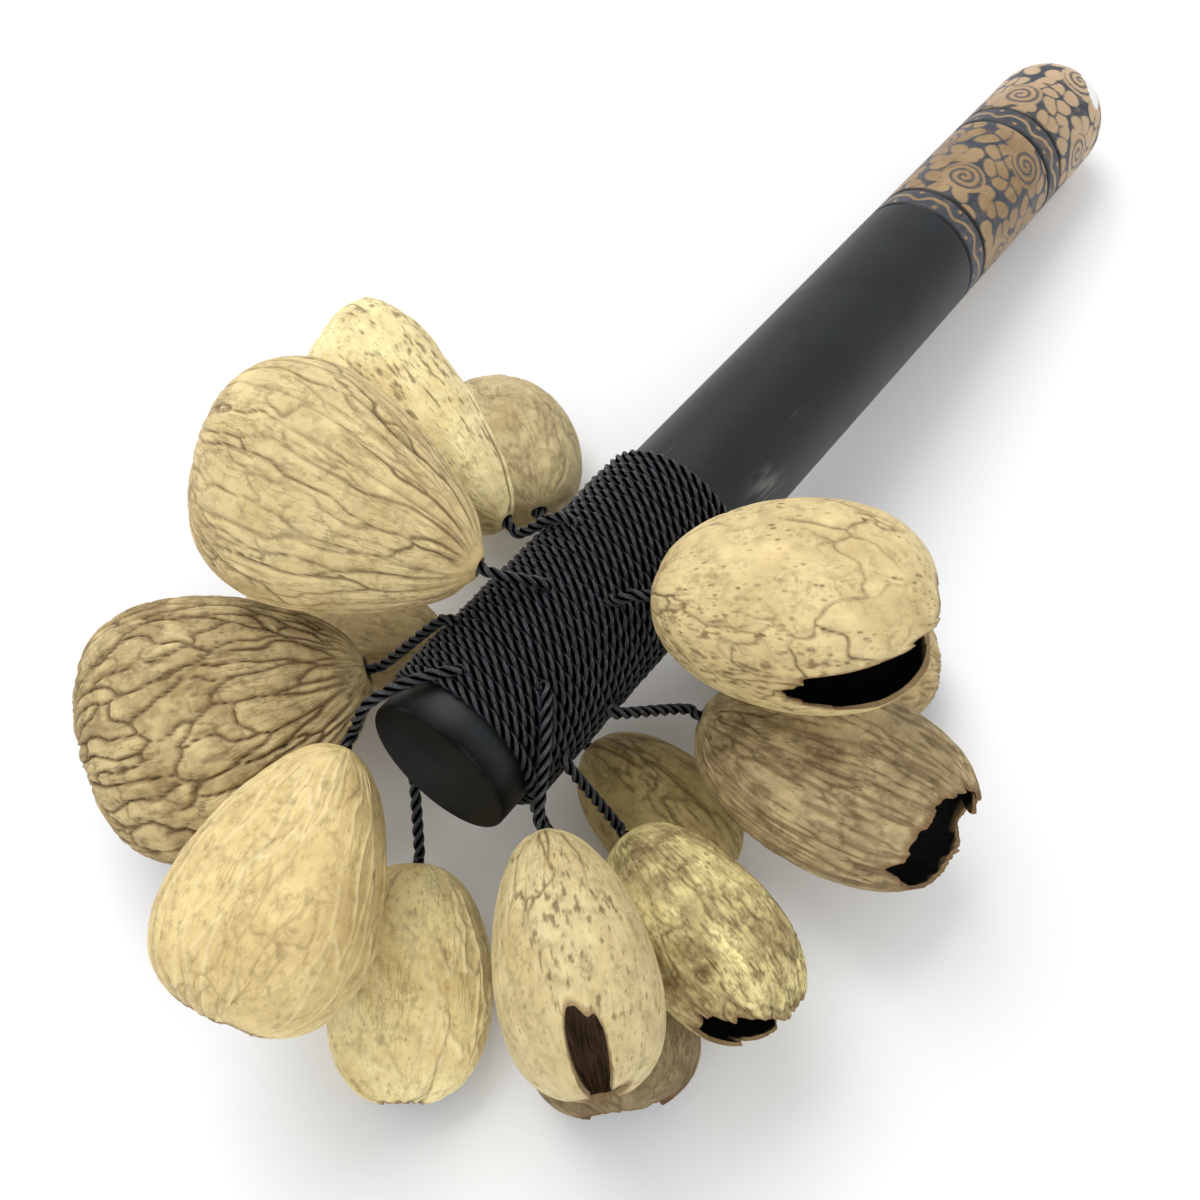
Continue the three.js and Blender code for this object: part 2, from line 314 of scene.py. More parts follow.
def mixed(tree, factor, first, second):
    """A colour mix: first where factor is 0, second where it is 1."""
    node = add_node(tree, "Mix", {"data_type": "RGBA"})
    for place, value in ((MIX_FACTOR, factor), (MIX_FIRST, first), (MIX_SECOND, second)):
        put(tree, node.inputs[place], value)
    return node.outputs[MIX_RESULT]


def coated(tree, base, coats):
    """A base colour under coats, laid on one by one: each is an amount from 0 to 1 and a colour."""
    for amount, tint in coats:
        base = mixed(tree, amount, base, tint)
    return base


print("a Mix node gives its colour at output", MIX_RESULT)

# %% [markdown]
# What steers such a mix is a number that differs from place to place: noise in space, or a mark that the
# mesh carries on its points. These helpers fetch both, and stretch, join or multiply them.

# %% Numbers that steer a finish


def combined(tree, operation, first, second):
    """Two numbers put together by a Math node's operation."""
    node = add_node(tree, "Math", {"operation": operation})
    for socket, value in zip(node.inputs, (first, second)):
        put(tree, socket, value)
    return node.outputs[0]


def times(tree, first, second):
    """Two numbers multiplied."""
    return combined(tree, "MULTIPLY", first, second)


def stepped(tree, value, low, high, top=1.0, bottom=0.0):
    """A number from bottom at low to top at high, straight between and held outside."""
    ends = {"From_Min": low, "From_Max": high, "To_Min": bottom, "To_Max": top}
    return add_node(tree, "MapRange", Value=value, **ends).outputs[0]


def clouds(tree, scale, detail=4.0, roughness=0.6, stretch=(1, 1, 1)):
    """Noise on Object coordinates, in cycles for each metre; stretch makes it longer along an axis."""
    place = add_node(tree, "TexCoord").outputs["Object"]
    place = add_node(tree, "Mapping", Vector=place, Scale=stretch).outputs[0]
    settings = {"Scale": scale, "Detail": detail, "Roughness": roughness}
    return add_node(tree, "TexNoise", Vector=place, **settings).outputs[0]


def marked(tree, label, part="Fac"):
    """The number, or with part Vector the three numbers, that the mesh carries under that label."""
    return add_node(tree, "Attribute", {"attribute_name": label}).outputs[part]


def thinned(tree, label, share):
    """A mark that counts for only a share of its number."""
    return times(tree, marked(tree, label), share)


def roughen(tree, shader, height, depth, strength):
    """A bump on the shader from a height; depth in metres."""
    bump = add_node(tree, "Bump", Height=height, Distance=depth, Strength=strength)
    feed(tree, shader, Normal=bump.outputs[0])


print("helpers for finishes:", [helper.__name__ for helper in (coated, stepped, clouds, marked, roughen)])

# %% [markdown]
# The stick is turned from one piece of wood, painted matte black, and bare at its tail, where a dark
# ornament of scrolls is drawn between two bands with incised rings. A lathe shape is a radius for each
# station, swept round. The ornament would blur as a coarse paint, so the grid is fine at the tail, and
# each point carries how dark it is.

# %% The stick's shape
RING_STATIONS = (165.5, 172, 204.5, 211)
RING_WIDTH = 1.4
RING_DEPTH = 0.6
FINE_FROM = 164
STICK_COLUMNS = 256

dome_station = STICK_LENGTH - math.sqrt(stick_radius ** 2 - (TAIL_FLAT / 2) ** 2)
dome_turn = math.acos(TAIL_FLAT / 2 / stick_radius)
chamfer = np.linspace(0, math.pi / 2, 7)
face = np.linspace(0.08, 0.98, 16)
coarse_stations = np.linspace(FRONT_CHAMFER, FINE_FROM, 60)[1:]
shaft_stations = np.concatenate([coarse_stations, np.linspace(FINE_FROM + 0.25, dome_station, 196)])
ring_cut = sum(np.clip(1 - np.abs(shaft_stations - ring) / (RING_WIDTH / 2), 0, 1) for ring in RING_STATIONS)
dome = np.linspace(0, dome_turn, 45)[1:]
stick_stations = np.concatenate([
    0 * face, FRONT_CHAMFER * (1 - np.cos(chamfer)), shaft_stations,
    dome_station + stick_radius * np.sin(dome), np.full(4, STICK_LENGTH),
])
stick_radii = np.concatenate([
    face * (stick_radius - FRONT_CHAMFER),
    stick_radius - FRONT_CHAMFER * (1 - np.sin(chamfer)), stick_radius - RING_DEPTH * ring_cut,
    stick_radius * np.cos(dome), np.linspace(0.85, 0.15, 4) * TAIL_FLAT / 2,
])
stick_clocks = np.linspace(0, 360, STICK_COLUMNS, endpoint=False)
station_grid, clock_grid = np.meshgrid(stick_stations, stick_clocks, indexing="ij")
radius_grid = np.repeat(stick_radii[:, None], STICK_COLUMNS, 1)
stick_points = on_stick(station_grid, radius_grid, clock_grid)
print("stick grid", stick_points.shape[:2])

# %% [markdown]
# The ornament is a common one: rows of spirals with rounded lobes between them on a dark ground. A
# spiral's line is dark where its radius, less its turn, falls in the middle of each pitch. The lobes are
# rounds about scattered seeds, which run into each other here and there. It could be painted, but worked
# out it stays sharp and can be changed by one number.

# %% Spirals and lobes
SPIRAL_RADIUS = 4.4
SPIRAL_PITCH = 1.9
SPIRAL_SWAY = 1.4
SPIRAL_LINE = (0.17, 0.27)
SPIRALS_ROUND = 4
SPIRAL_ROWS = (180.0, 196.5, 219.5, 233.5)
LOBES_ROUND = 20
LOBE_SIZE = 2 * math.pi * stick_radius / LOBES_ROUND
LOBE_SWAY = 0.18
LOBE_SPREAD = 0.76
LOBE_EDGE = (0.47, 0.54)
LOBE_GAP = (0.06, 0.16)


def spiral_marks(station, arc):
    """How far the nearest spiral's middle is, in mm, and 1 on the drawn line of a spiral."""
    step = 2 * math.pi * stick_radius / SPIRALS_ROUND
    nearest = np.full(station.shape, np.inf)
    drawn = 0 * station
    for row, middle in enumerate(SPIRAL_ROWS):
        shifted = arc - step * (0.5 * (row % 2) + 0.1 * row)
        column = np.round(shifted / step)
        side = shifted - step * column
        rise = station - middle - SPIRAL_SWAY * np.sin(2.4 * (column % SPIRALS_ROUND) + row)
        reach = np.hypot(side, rise)
        hand = 1 if row % 2 else -1
        phase = (reach / SPIRAL_PITCH - hand * np.arctan2(rise, side) / (2 * math.pi)) % 1
        line = (1 - soft_step(np.abs(phase - 0.5), *SPIRAL_LINE)) * (reach < SPIRAL_RADIUS)
        drawn = np.maximum(drawn, line)
        nearest = np.minimum(nearest, reach)
    return nearest, drawn


def lobe_reach(station, arc):
    """Distances, in lobes, to the nearest and second nearest of seeds, one to a cell round the tail."""
    spot = np.stack([arc, station], -1) / LOBE_SIZE
    sway = np.stack([np.sin(2.1 * spot[..., 1]), np.sin(2 * math.pi * 0.35 * spot[..., 0])], -1)
    spot = spot + LOBE_SWAY * sway
    around = np.array(list(itertools.product((-1, 0, 1), repeat=2)))
    cells = np.floor(spot)[..., None, :] + around
    named = np.stack([cells[..., 0] % LOBES_ROUND, cells[..., 1], 0 * cells[..., 0]], -1)
    scatter = np.stack([cell_number(named, 11), cell_number(named, 12)], -1)
    seeds = cells + (1 - LOBE_SPREAD) / 2 + LOBE_SPREAD * scatter
    nearest = np.partition(np.linalg.norm(seeds - spot[..., None, :], axis=-1), 1, axis=-1)
    return nearest[..., 0], nearest[..., 1]


print("spirals", 2 * SPIRAL_RADIUS, "mm across, lobes about", round(LOBE_SIZE, 1), "mm")

# %% [markdown]
# Two bands with a light wavy line and dots frame the ornament, each between two cut rings. Everything
# drawn goes into one number for each point: 1 where the tail is dark, 0 where its wood is bare. Old ink
# is never even, so noise thins it a little.

# %% The whole drawing
BAND_WAVES = 9
WAVE_HEIGHT = 0.95
WAVE_EDGE = (0.32, 0.58)
DOT_OFFSET = 1.75
DOT_EDGE = (0.35, 0.6)
SPIRAL_INK = 0.85
THINNED_INK = 0.2


def band_dark(station, angle, middle):
    """A dark band's drawing: 0 on its light wavy line and on the dots beside it."""
    wave = np.sin(angle * BAND_WAVES) + 0.3 * np.sin(angle * (2 * BAND_WAVES + 1))
    line = np.abs(station - middle - WAVE_HEIGHT * wave)
    row = station - middle + DOT_OFFSET * np.sign(np.sin(angle * BAND_WAVES))
    column = (angle * BAND_WAVES / math.pi) % 1 - 0.5
    dot = np.hypot(row, column * math.pi / BAND_WAVES * stick_radius)
    return np.minimum(soft_step(line, *WAVE_EDGE), soft_step(dot, *DOT_EDGE))


def ornament_dark(station, clock):
    """1 where the tail is drawn dark, 0 where the wood is bare."""
    angle = np.radians(clock)
    wrapped = np.stack([stick_radius * np.cos(angle), stick_radius * np.sin(angle), station], -1)
    away, spiral = spiral_marks(station, angle * stick_radius)
    near, next_near = lobe_reach(station, angle * stick_radius)
    parted = soft_step(smooth_noise(wrapped / 5, 17), -0.1, 0.3)
    gap = parted * (1 - soft_step(next_near - near, *LOBE_GAP))
    lobe = (1 - gap) * (1 - soft_step(near, *LOBE_EDGE))
    dark = (1 - lobe) * soft_step(away, SPIRAL_RADIUS + 0.5, SPIRAL_RADIUS + 0.9)
    dark = np.maximum(dark, SPIRAL_INK * spiral)
    for low, high in (RING_STATIONS[:2], RING_STATIONS[2:]):
        dark = np.where((station > low) & (station < high), band_dark(station, angle, (low + high) / 2), dark)
    return dark * (1 - THINNED_INK * soft_step(rough_noise(wrapped / 1.6, 23), 0.1, 0.9))


def ring_dark(station):
    """1 in the four cut rings."""
    return 1 - soft_step(np.min([np.abs(station - place) for place in RING_STATIONS], axis=0), 0.45, 0.75)


stick_bare = soft_step(station_grid, RING_STATIONS[0] - 0.6, RING_STATIONS[0] - 0.3)
stick_drawn = ornament_dark(station_grid, clock_grid) * stick_bare
print("dark share of the bare tail", round(stick_drawn[stick_bare > 0.5].mean(), 2))

# %% [markdown]
# Use has left its marks: the black paint is rubbed at the rim of the front face and scuffed on the shaft,
# and a flake has come off near the tip of the tail. They are marks on the points too, because they belong
# to places on the stick and would slide if they came from a picture laid over it.

# %% Wear on the stick
SCUFF_STATION = 82
SCUFF_CLOCK = 30
SCUFF_LENGTH = 4.5
SCUFF_TURN = 13
CHIP_STATION = 235
CHIP_CLOCK = 54
CHIP_LENGTH = 10
CHIP_WIDTH = 4.5
CHIP_RADIUS = 11
RIM_WEAR, SCUFF_WEAR, FACE_DUST, SPECK_WEAR = 0.32, 0.65, 0.06, 0.12


def rubbed_paint(station, clock, radius):
    """Rubbed black paint: strongest on the upper rim of the front, with scuffs on its face and the shaft."""
    angle = np.radians(clock)
    spots = np.stack([radius * np.cos(angle), radius * np.sin(angle), station], -1)
    rim = np.exp(-((station - 0.35) / 0.3) ** 2) * soft_step(radius, 12.8, 13.4)
    ring = np.stack([np.cos(angle), np.sin(angle), 0 * angle], -1)
    rim = rim * soft_step(rough_noise(ring * 4, 31), -0.7, 0.5) * soft_step(np.sin(angle), -0.4, 0.4)
    near = ((station - SCUFF_STATION) / SCUFF_LENGTH) ** 2 + ((clock - SCUFF_CLOCK) / SCUFF_TURN) ** 2
    scuff = np.exp(-near) * soft_step(rough_noise(spots / (1.2, 1.2, 3.0), 37), 0.0, 0.35)
    dusty = (station < 0.05) * soft_step(rough_noise(spots / (3.5, 1.5, 2.5), 41), 0.2, 1.2)
    specks = soft_step(smooth_noise(spots / 1.3, 43), 0.86, 0.95)
    worn = RIM_WEAR * rim + SCUFF_WEAR * scuff + FACE_DUST * dusty + SPECK_WEAR * specks
    return np.clip(worn, 0, 1)


def tail_chip(station, clock):
    """A flaked place near the tip, 1 inside a ragged oval that lies aslant."""
    angle = np.radians(clock)
    spots = np.stack([6 * np.cos(angle), 6 * np.sin(angle), station], -1)
    side = np.radians(clock - CHIP_CLOCK) * CHIP_RADIUS
    lengthways = (station - CHIP_STATION + side) / math.sqrt(2)
    sideways = (station - CHIP_STATION - side) / math.sqrt(2)
    oval = np.hypot(2 * lengthways / CHIP_LENGTH, 2 * sideways / CHIP_WIDTH)
    return 1 - soft_step(oval + 0.35 * rough_noise(spots / 1.6, 47), 0.85, 0.95)


stick_rubbed = rubbed_paint(station_grid, clock_grid, radius_grid)
stick_chip = tail_chip(station_grid, clock_grid)
print("points in the chip", int((stick_chip > 0.5).sum()))

# %% [markdown]
# Now the stick becomes a piece. It rides on the body of the same name and takes the place of its CAD
# node. Two more marks say where the wood is bleached, towards the tip, and where the front shines less
# and is painted darker, which is painted shade.

# %% The stick's piece
stick_piece = grid_piece(
    "stick_turned", stick_points,
    bare=stick_bare, ornament=stick_drawn, groove=ring_dark(station_grid),
    rubbed=stick_rubbed, chip=stick_chip,
    # The last mark is 1 on the front face, where the finish paints shade and lowers the shine.
    bleach=soft_step(station_grid, 195, 240), dull=1 - soft_step(station_grid, 0.1, 5),
)
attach(stick_piece, "stick")
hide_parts("handle_stick")
print("stick faces", len(stick_piece.data.polygons))

# %% [markdown]
# The paint is nearly black with a soft sheen that dust and handling make uneven. The bare wood is tan
# with fine grain along the stick. Both are in one material, because the real stick is one piece, and
# the marks on its points say which one shows.

# %% The stick's finish


def stick_finish():
    """Black paint and bare drawn wood, chosen by the marks on the stick's points."""
    material, tree, shader = start_finish("stick_paint_and_wood")
    paint = coated(tree, colour(11, 14, 17), (
        (stepped(tree, clouds(tree, 60, 6), 0.38, 0.75), colour(24, 29, 33)),
        (thinned(tree, "rubbed", 0.8), colour(140, 138, 130)),
        # Painted shade: the front face and the first few mm of the shaft are painted nearly black.
        (thinned(tree, "dull", 0.85), colour(3, 4, 5)),
    ))
    grain = clouds(tree, 900, 5, 0.65, (1, 0.06, 1))
    ink = mixed(tree, stepped(tree, clouds(tree, 420, 4), 0.3, 0.7), colour(44, 48, 56), colour(70, 72, 78))
    wood = coated(tree, colour(130, 101, 66), (
        (stepped(tree, grain, 0.3, 0.7), colour(154, 124, 84)),
        (stepped(tree, clouds(tree, 80, 5), 0.42, 0.75, 0.5), colour(188, 162, 126)),
        (thinned(tree, "bleach", 0.6), colour(224, 194, 160)),
        (marked(tree, "ornament"), ink),
        (marked(tree, "groove"), colour(12, 12, 14)),
        (marked(tree, "chip"), colour(244, 242, 238)),
    ))
    feed(tree, shader, Base_Color=mixed(tree, marked(tree, "bare"), paint, wood))
    feed(tree, shader, Roughness=stepped(tree, clouds(tree, 140, 6), 0, 1, 0.58, 0.4))
    feed(tree, shader, Specular_IOR_Level=stepped(tree, marked(tree, "dull"), 0, 1, 0.08, 0.42))
    roughen(tree, shader, grain, 0.0002, 0.15)
    return material


stick_piece.data.materials.append(stick_finish())
stick_piece.data.set_sharp_from_angle(angle=math.radians(60))
print("stick finish", stick_piece.data.materials[0].name)

# %% [markdown]
# The cords are three strands twisted together. Seen end on, such a cord is three circles that touch, and
# that figure turns as it goes along, which gives the slanting strands. So the section is written as a
# radius for each angle, and the grid turns with the length while it is carried along a path. A bump in
# the finish would be quicker, but it would leave the cord's edge straight where it should be lobed.

# %% A twisted cord
CORD_DIAMETER = 2.2
TWIST_PITCH = 7.4
STRANDS = 3
LEAST_BULGE = 0.04


def twisted_cord(name, path, side, length, diameter, columns):
    """A closed tube of three strands that lie against each other and turn once in each twist's pitch.

    With d a strand's offset, r its radius and a the angle from the nearest strand, the outline is
    d cos a + sqrt(r r - d d sin a sin a). The grid turns with the strands, so each column follows one.
    """
    ahead = np.gradient(path, axis=0)
    ahead /= np.linalg.norm(ahead, axis=1, keepdims=True)
    first = side - (side * ahead).sum(1, keepdims=True) * ahead
    first /= np.linalg.norm(first, axis=1, keepdims=True)
    second = np.cross(ahead, first)
    angle = np.linspace(0, 2 * math.pi, columns, endpoint=False)
    sector = math.pi / STRANDS
    lean = (angle + sector) % (2 * sector) - sector
    offset = diameter / 2 / (1 + math.sin(sector))
    strand = diameter / 2 - offset
    bulge = np.maximum(strand ** 2 - (offset * np.sin(lean)) ** 2, (LEAST_BULGE * diameter) ** 2)
    outline = np.sqrt(bulge) + offset * np.cos(lean)
    turned = angle + (2 * math.pi * length / TWIST_PITCH)[:, None]
    spoke = np.cos(turned)[..., None] * first[:, None] + np.sin(turned)[..., None] * second[:, None]
    points = path[:, None] + outline[:, None] * spoke
    fibre = np.stack(np.broadcast_arrays(np.cos(angle), np.sin(angle), 0.12 * length[:, None]), -1)
    groove = np.broadcast_to((lean / sector) ** 2, turned.shape)
    return grid_piece(name, points, groove=groove, fibre=fibre)


print("cord", CORD_DIAMETER, "mm thick, one twist in", TWIST_PITCH, "mm")

# %% [markdown]
# A cord needs a path: a row of points with even steps, and the length at each of them, which the twist
# follows. Blender's own curves could give it. Here a few places are joined by cubic pieces, so that the
# cord goes through each place without a kink.

# %% A path for a cord
STEPS_BETWEEN = 60
FEWEST_POINTS = 8


def length_along(path):
    """The length from the path's start to each of its points: the steps between them, summed up."""
    return np.concatenate([[0], np.cumsum(np.linalg.norm(np.diff(path, axis=0), axis=1))])


def smooth_path(places, spacing):
    """A smooth curve through the places, in even steps, and the length at each step.

    It is made of cubic pieces. The slope at a place is half the chord between its two neighbours.
    """
    places = np.asarray(places, float)
    slopes = np.gradient(places, axis=0)
    count = len(places) - 1
    share = np.linspace(0, count, STEPS_BETWEEN * count + 1)
    piece = np.minimum(share.astype(int), count - 1)
    t = (share - piece)[:, None]
    curve = (
        (2 * t ** 3 - 3 * t ** 2 + 1) * places[piece] + (t ** 3 - 2 * t ** 2 + t) * slopes[piece]
        + (3 * t ** 2 - 2 * t ** 3) * places[piece + 1] + (t ** 3 - t ** 2) * slopes[piece + 1])
    run = length_along(curve)
    length = np.linspace(0, run[-1], max(int(run[-1] / spacing), FEWEST_POINTS))
    return np.stack([np.interp(length, run, curve[:, k]) for k in range(3)], -1), length


bend = smooth_path([(0, 0, 0), (5, 0, 0), (5, 5, 0)], 0.3)
print("a bend of 5 and 5 mm is rounded to", round(bend[1][-1], 2), "mm")

# %% [markdown]
# The cords are black and a little shiny where strands catch the light. Flat black would hide the twist,
# so the finish paints shade into the groove between strands, lets the backs of the strands shine, and adds
# fine fibres that follow the strands, as painted bluish glints in the colour and as a bump.

# %% The cord's finish


def cord_finish():
    """Black twisted yarn with fibres along its strands, painted with bluish glints, and painted shade in the
    grooves.
    """
    material, tree, shader = start_finish("cord_black_yarn", Roughness=0.26, Specular_IOR_Level=0.5)
    strand = marked(tree, "fibre", "Vector")
    fibre = add_node(tree, "TexNoise", Vector=strand, Scale=9.0, Detail=3.0, Roughness=0.7).outputs[0]
    feed(tree, shader, Base_Color=coated(tree, colour(2, 2, 4), (
        # Painted glints: pale bluish streaks along the strands stand in for light they catch.
        (stepped(tree, fibre, 0.48, 0.66), colour(84, 88, 100)),
        # Painted shade: the grooves between strands are painted nearly black.
        (stepped(tree, marked(tree, "groove"), 0.1, 0.6), colour(0, 0, 1)),
    )))
    feed(tree, shader, Specular_IOR_Level=stepped(tree, marked(tree, "groove"), 0.05, 0.5, 0.0, 1.0))
    roughen(tree, shader, fibre, 0.0005, 0.8)
    return material


cord_black = cord_finish()
print("cord finish", cord_black.name)

# %% [markdown]
# The winding is one cord wound close round the front of the stick, turn against turn. It is a helix:
# the clock angle and the station grow together. Each turn touches the next, so only the outer half of
# the cord shows, and the twist makes rows of slanting dashes. A ribbed sleeve would look much the same
# from far off, but one cord has a true beginning, end and slant.

# %% The winding
WIND_FROM = 6.8
WIND_TO = 70.2
WIND_CORD = 2.15
WIND_STEPS = 268
WIND_COLUMNS = 12
WIND_SWAY = 0.12
WIND_LIFT = 0.1

wind_turns = int((WIND_TO - WIND_FROM) / (WIND_CORD * 0.95))
wind_radius = stick_radius + WIND_CORD * 0.6
wind_turn = np.linspace(0, wind_turns, wind_turns * WIND_STEPS + 1)
wind_clock = 360 * wind_turn
wobble = np.stack([wind_turn * 3.1, 0 * wind_turn, 0 * wind_turn], -1)
wind_station = WIND_FROM + (WIND_TO - WIND_FROM) * wind_turn / wind_turns
wind_station = wind_station + WIND_SWAY * smooth_noise(wobble, 51)
wind_path = on_stick(wind_station, wind_radius + WIND_LIFT * smooth_noise(wobble + 40, 53), wind_clock)
wind_middle = on_stick(wind_station, 0 * wind_turn, wind_clock)
wind_side = on_stick(wind_station, 1 + 0 * wind_turn, wind_clock) - wind_middle
winding_piece = twisted_cord(
    "winding_cord", wind_path, wind_side, length_along(wind_path), WIND_CORD, WIND_COLUMNS)
winding_piece.data.materials.append(cord_black)
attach(winding_piece, "stick")
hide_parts("cord_winding")
print(wind_turns, "turns,", 2 * len(winding_piece.data.polygons), "triangles")

# %% [markdown]
# Now the shells. Each is a hollow egg that hangs by its narrow end and is broken open at the far end.
# The first lines for each shell are its place, shape and mouth, mostly as the CAD has them. The others say
# what its skin is like: nets of veins, cracks or raised ribs, fine wrinkles (striae), a seam, stains and
# two tones. Sculpting fourteen shells would take days; a few numbers for each keep them apart and
# easy to change. These seven hang on the left and over the front.

# %% Shells on the left


def lines(around, lengths, width, depth, dark=1.0, wander=0.45, patch=-2.0, reach=2.0, fade=0.25):
    """A net of lines: its cells round and along the shell, and the width and depth of a line in mm.

    A depth below 0 raises ribs. Dark is how dark the lines are, wander how crooked; patch, reach and fade
    say in how much of the skin, how far along the shell and how evenly they show.
    """
    return dict(around=around, lengths=lengths, width=width, depth=depth, dark=dark, wander=wander,
                patch=patch, reach=reach, fade=fade)


LEFT_SHELLS = (
    dict(reach=(-7, -4, 3), bearing=190, dip=0, roll=-45, length=54, width=44, thick=32, egg=0.36,
         mouth=0.95, notch=0.36, facing=180, spread=50, exit=(32, 98), via=(),
         nets=(lines(24, 1.8, 0.29, 0.34, 1.0, 0.4, fade=0.5),
               lines(38, 4.0, 0.24, 0.14, 0.6, 0.45, -0.3, fade=0.5)),
         tone=((228, 206, 152), (204, 178, 124)), spots=0.3),
    dict(reach=(-6, -2, -5), bearing=170, dip=0, roll=5, length=55, width=26, thick=35, egg=0.32,
         mouth=0.95, notch=0.34, facing=180, spread=50, exit=(47, 121), via=(),
         taper=1.15, corner=(122, 0.75, 3.6, 15), seam=140,
         nets=(lines(12, 2.0, 0.25, 0.25, 0.8, 0.4, 0.1),), striae=(30, 4, 0.05, 0.1), stain=(110, 0.5, 60),
         tone=((254, 238, 180), (228, 204, 142)), spots=0.9, creased=0.2),
    dict(reach=(-10, 2, -7), bearing=150, dip=20, roll=5, length=46, width=33, thick=24, egg=0.1,
         mouth=0.94, notch=0.32, facing=200, spread=50, exit=(61, 185), via=(),
         nets=(lines(13, 3.0, 0.5, 0.3, 0.4, 0.6, -0.3),),
         tone=((208, 190, 142), (184, 162, 114)), spots=0.3),
    dict(reach=(-8, -8, -13), bearing=230, dip=15, roll=-20, length=56, width=50, thick=26, egg=0.34,
         mouth=0.95, notch=0.36, facing=180, spread=50, exit=(19, 138), via=(),
         nets=(lines(30, 5.0, 0.36, 0.6, fade=0), lines(52, 12, 0.24, 0.22, 0.7, 0.5, -0.3)),
         striae=(60, 9, 0.1, 0.2), tone=((216, 194, 142), (158, 133, 88)), spots=0.8),
    dict(reach=(-10, 1, -13), bearing=205, dip=10, roll=-5, length=46, width=28, thick=21, egg=0.12,
         mouth=0.9, notch=0.26, facing=160, spread=55, exit=(28, 200), via=(),
         nets=(lines(14, 3.0, 0.4, 0.3, 0.5, 0.5, -0.3),),
         tone=((208, 186, 136), (178, 152, 104)), spots=0.3),
    dict(reach=(3, -16, -4), bearing=285, dip=10, roll=10, length=48, width=37, thick=32, egg=0.32,
         mouth=0.93, notch=0.36, facing=180, spread=60, exit=(9.5, 103),
         via=((4, 16.2, 125), (-1, 16.0, 150)),
         nets=(lines(24, 2.4, 0.32, -0.26, 0.0, 0.35, -0.6), lines(28, 7, 0.26, 0.12, 0.4, 0.4, -0.1)),
         tone=((234, 209, 148), (208, 180, 122)), spots=0.35, creased=0.3),
    dict(reach=(13, -17, -13), bearing=305, dip=15, roll=-10, length=42, width=30, thick=20, egg=0.1,
         mouth=0.92, notch=0.3, facing=190, spread=55, exit=(9.5, 200), via=(),
         nets=(lines(11, 2.2, 0.5, -0.5, 0.0, 0.5, -0.7), lines(18, 2.2, 0.25, 0.2, 0.6, 0.4, 0.1)),
         tone=((255, 238, 174), (224, 195, 132)), spots=0.5, creased=0.4),
)
print("longest shell on the left", max(row["length"] for row in LEFT_SHELLS), "mm")

# %% [markdown]
# The other seven hang on the right. Four of their mouths can be seen into, so those say more about the
# break: how wide and how steep the notch is, how far it is torn, and for one a pale inside. Striae are
# written as cells round and along, depth and darkness, and a stain as its clock place, station and width.

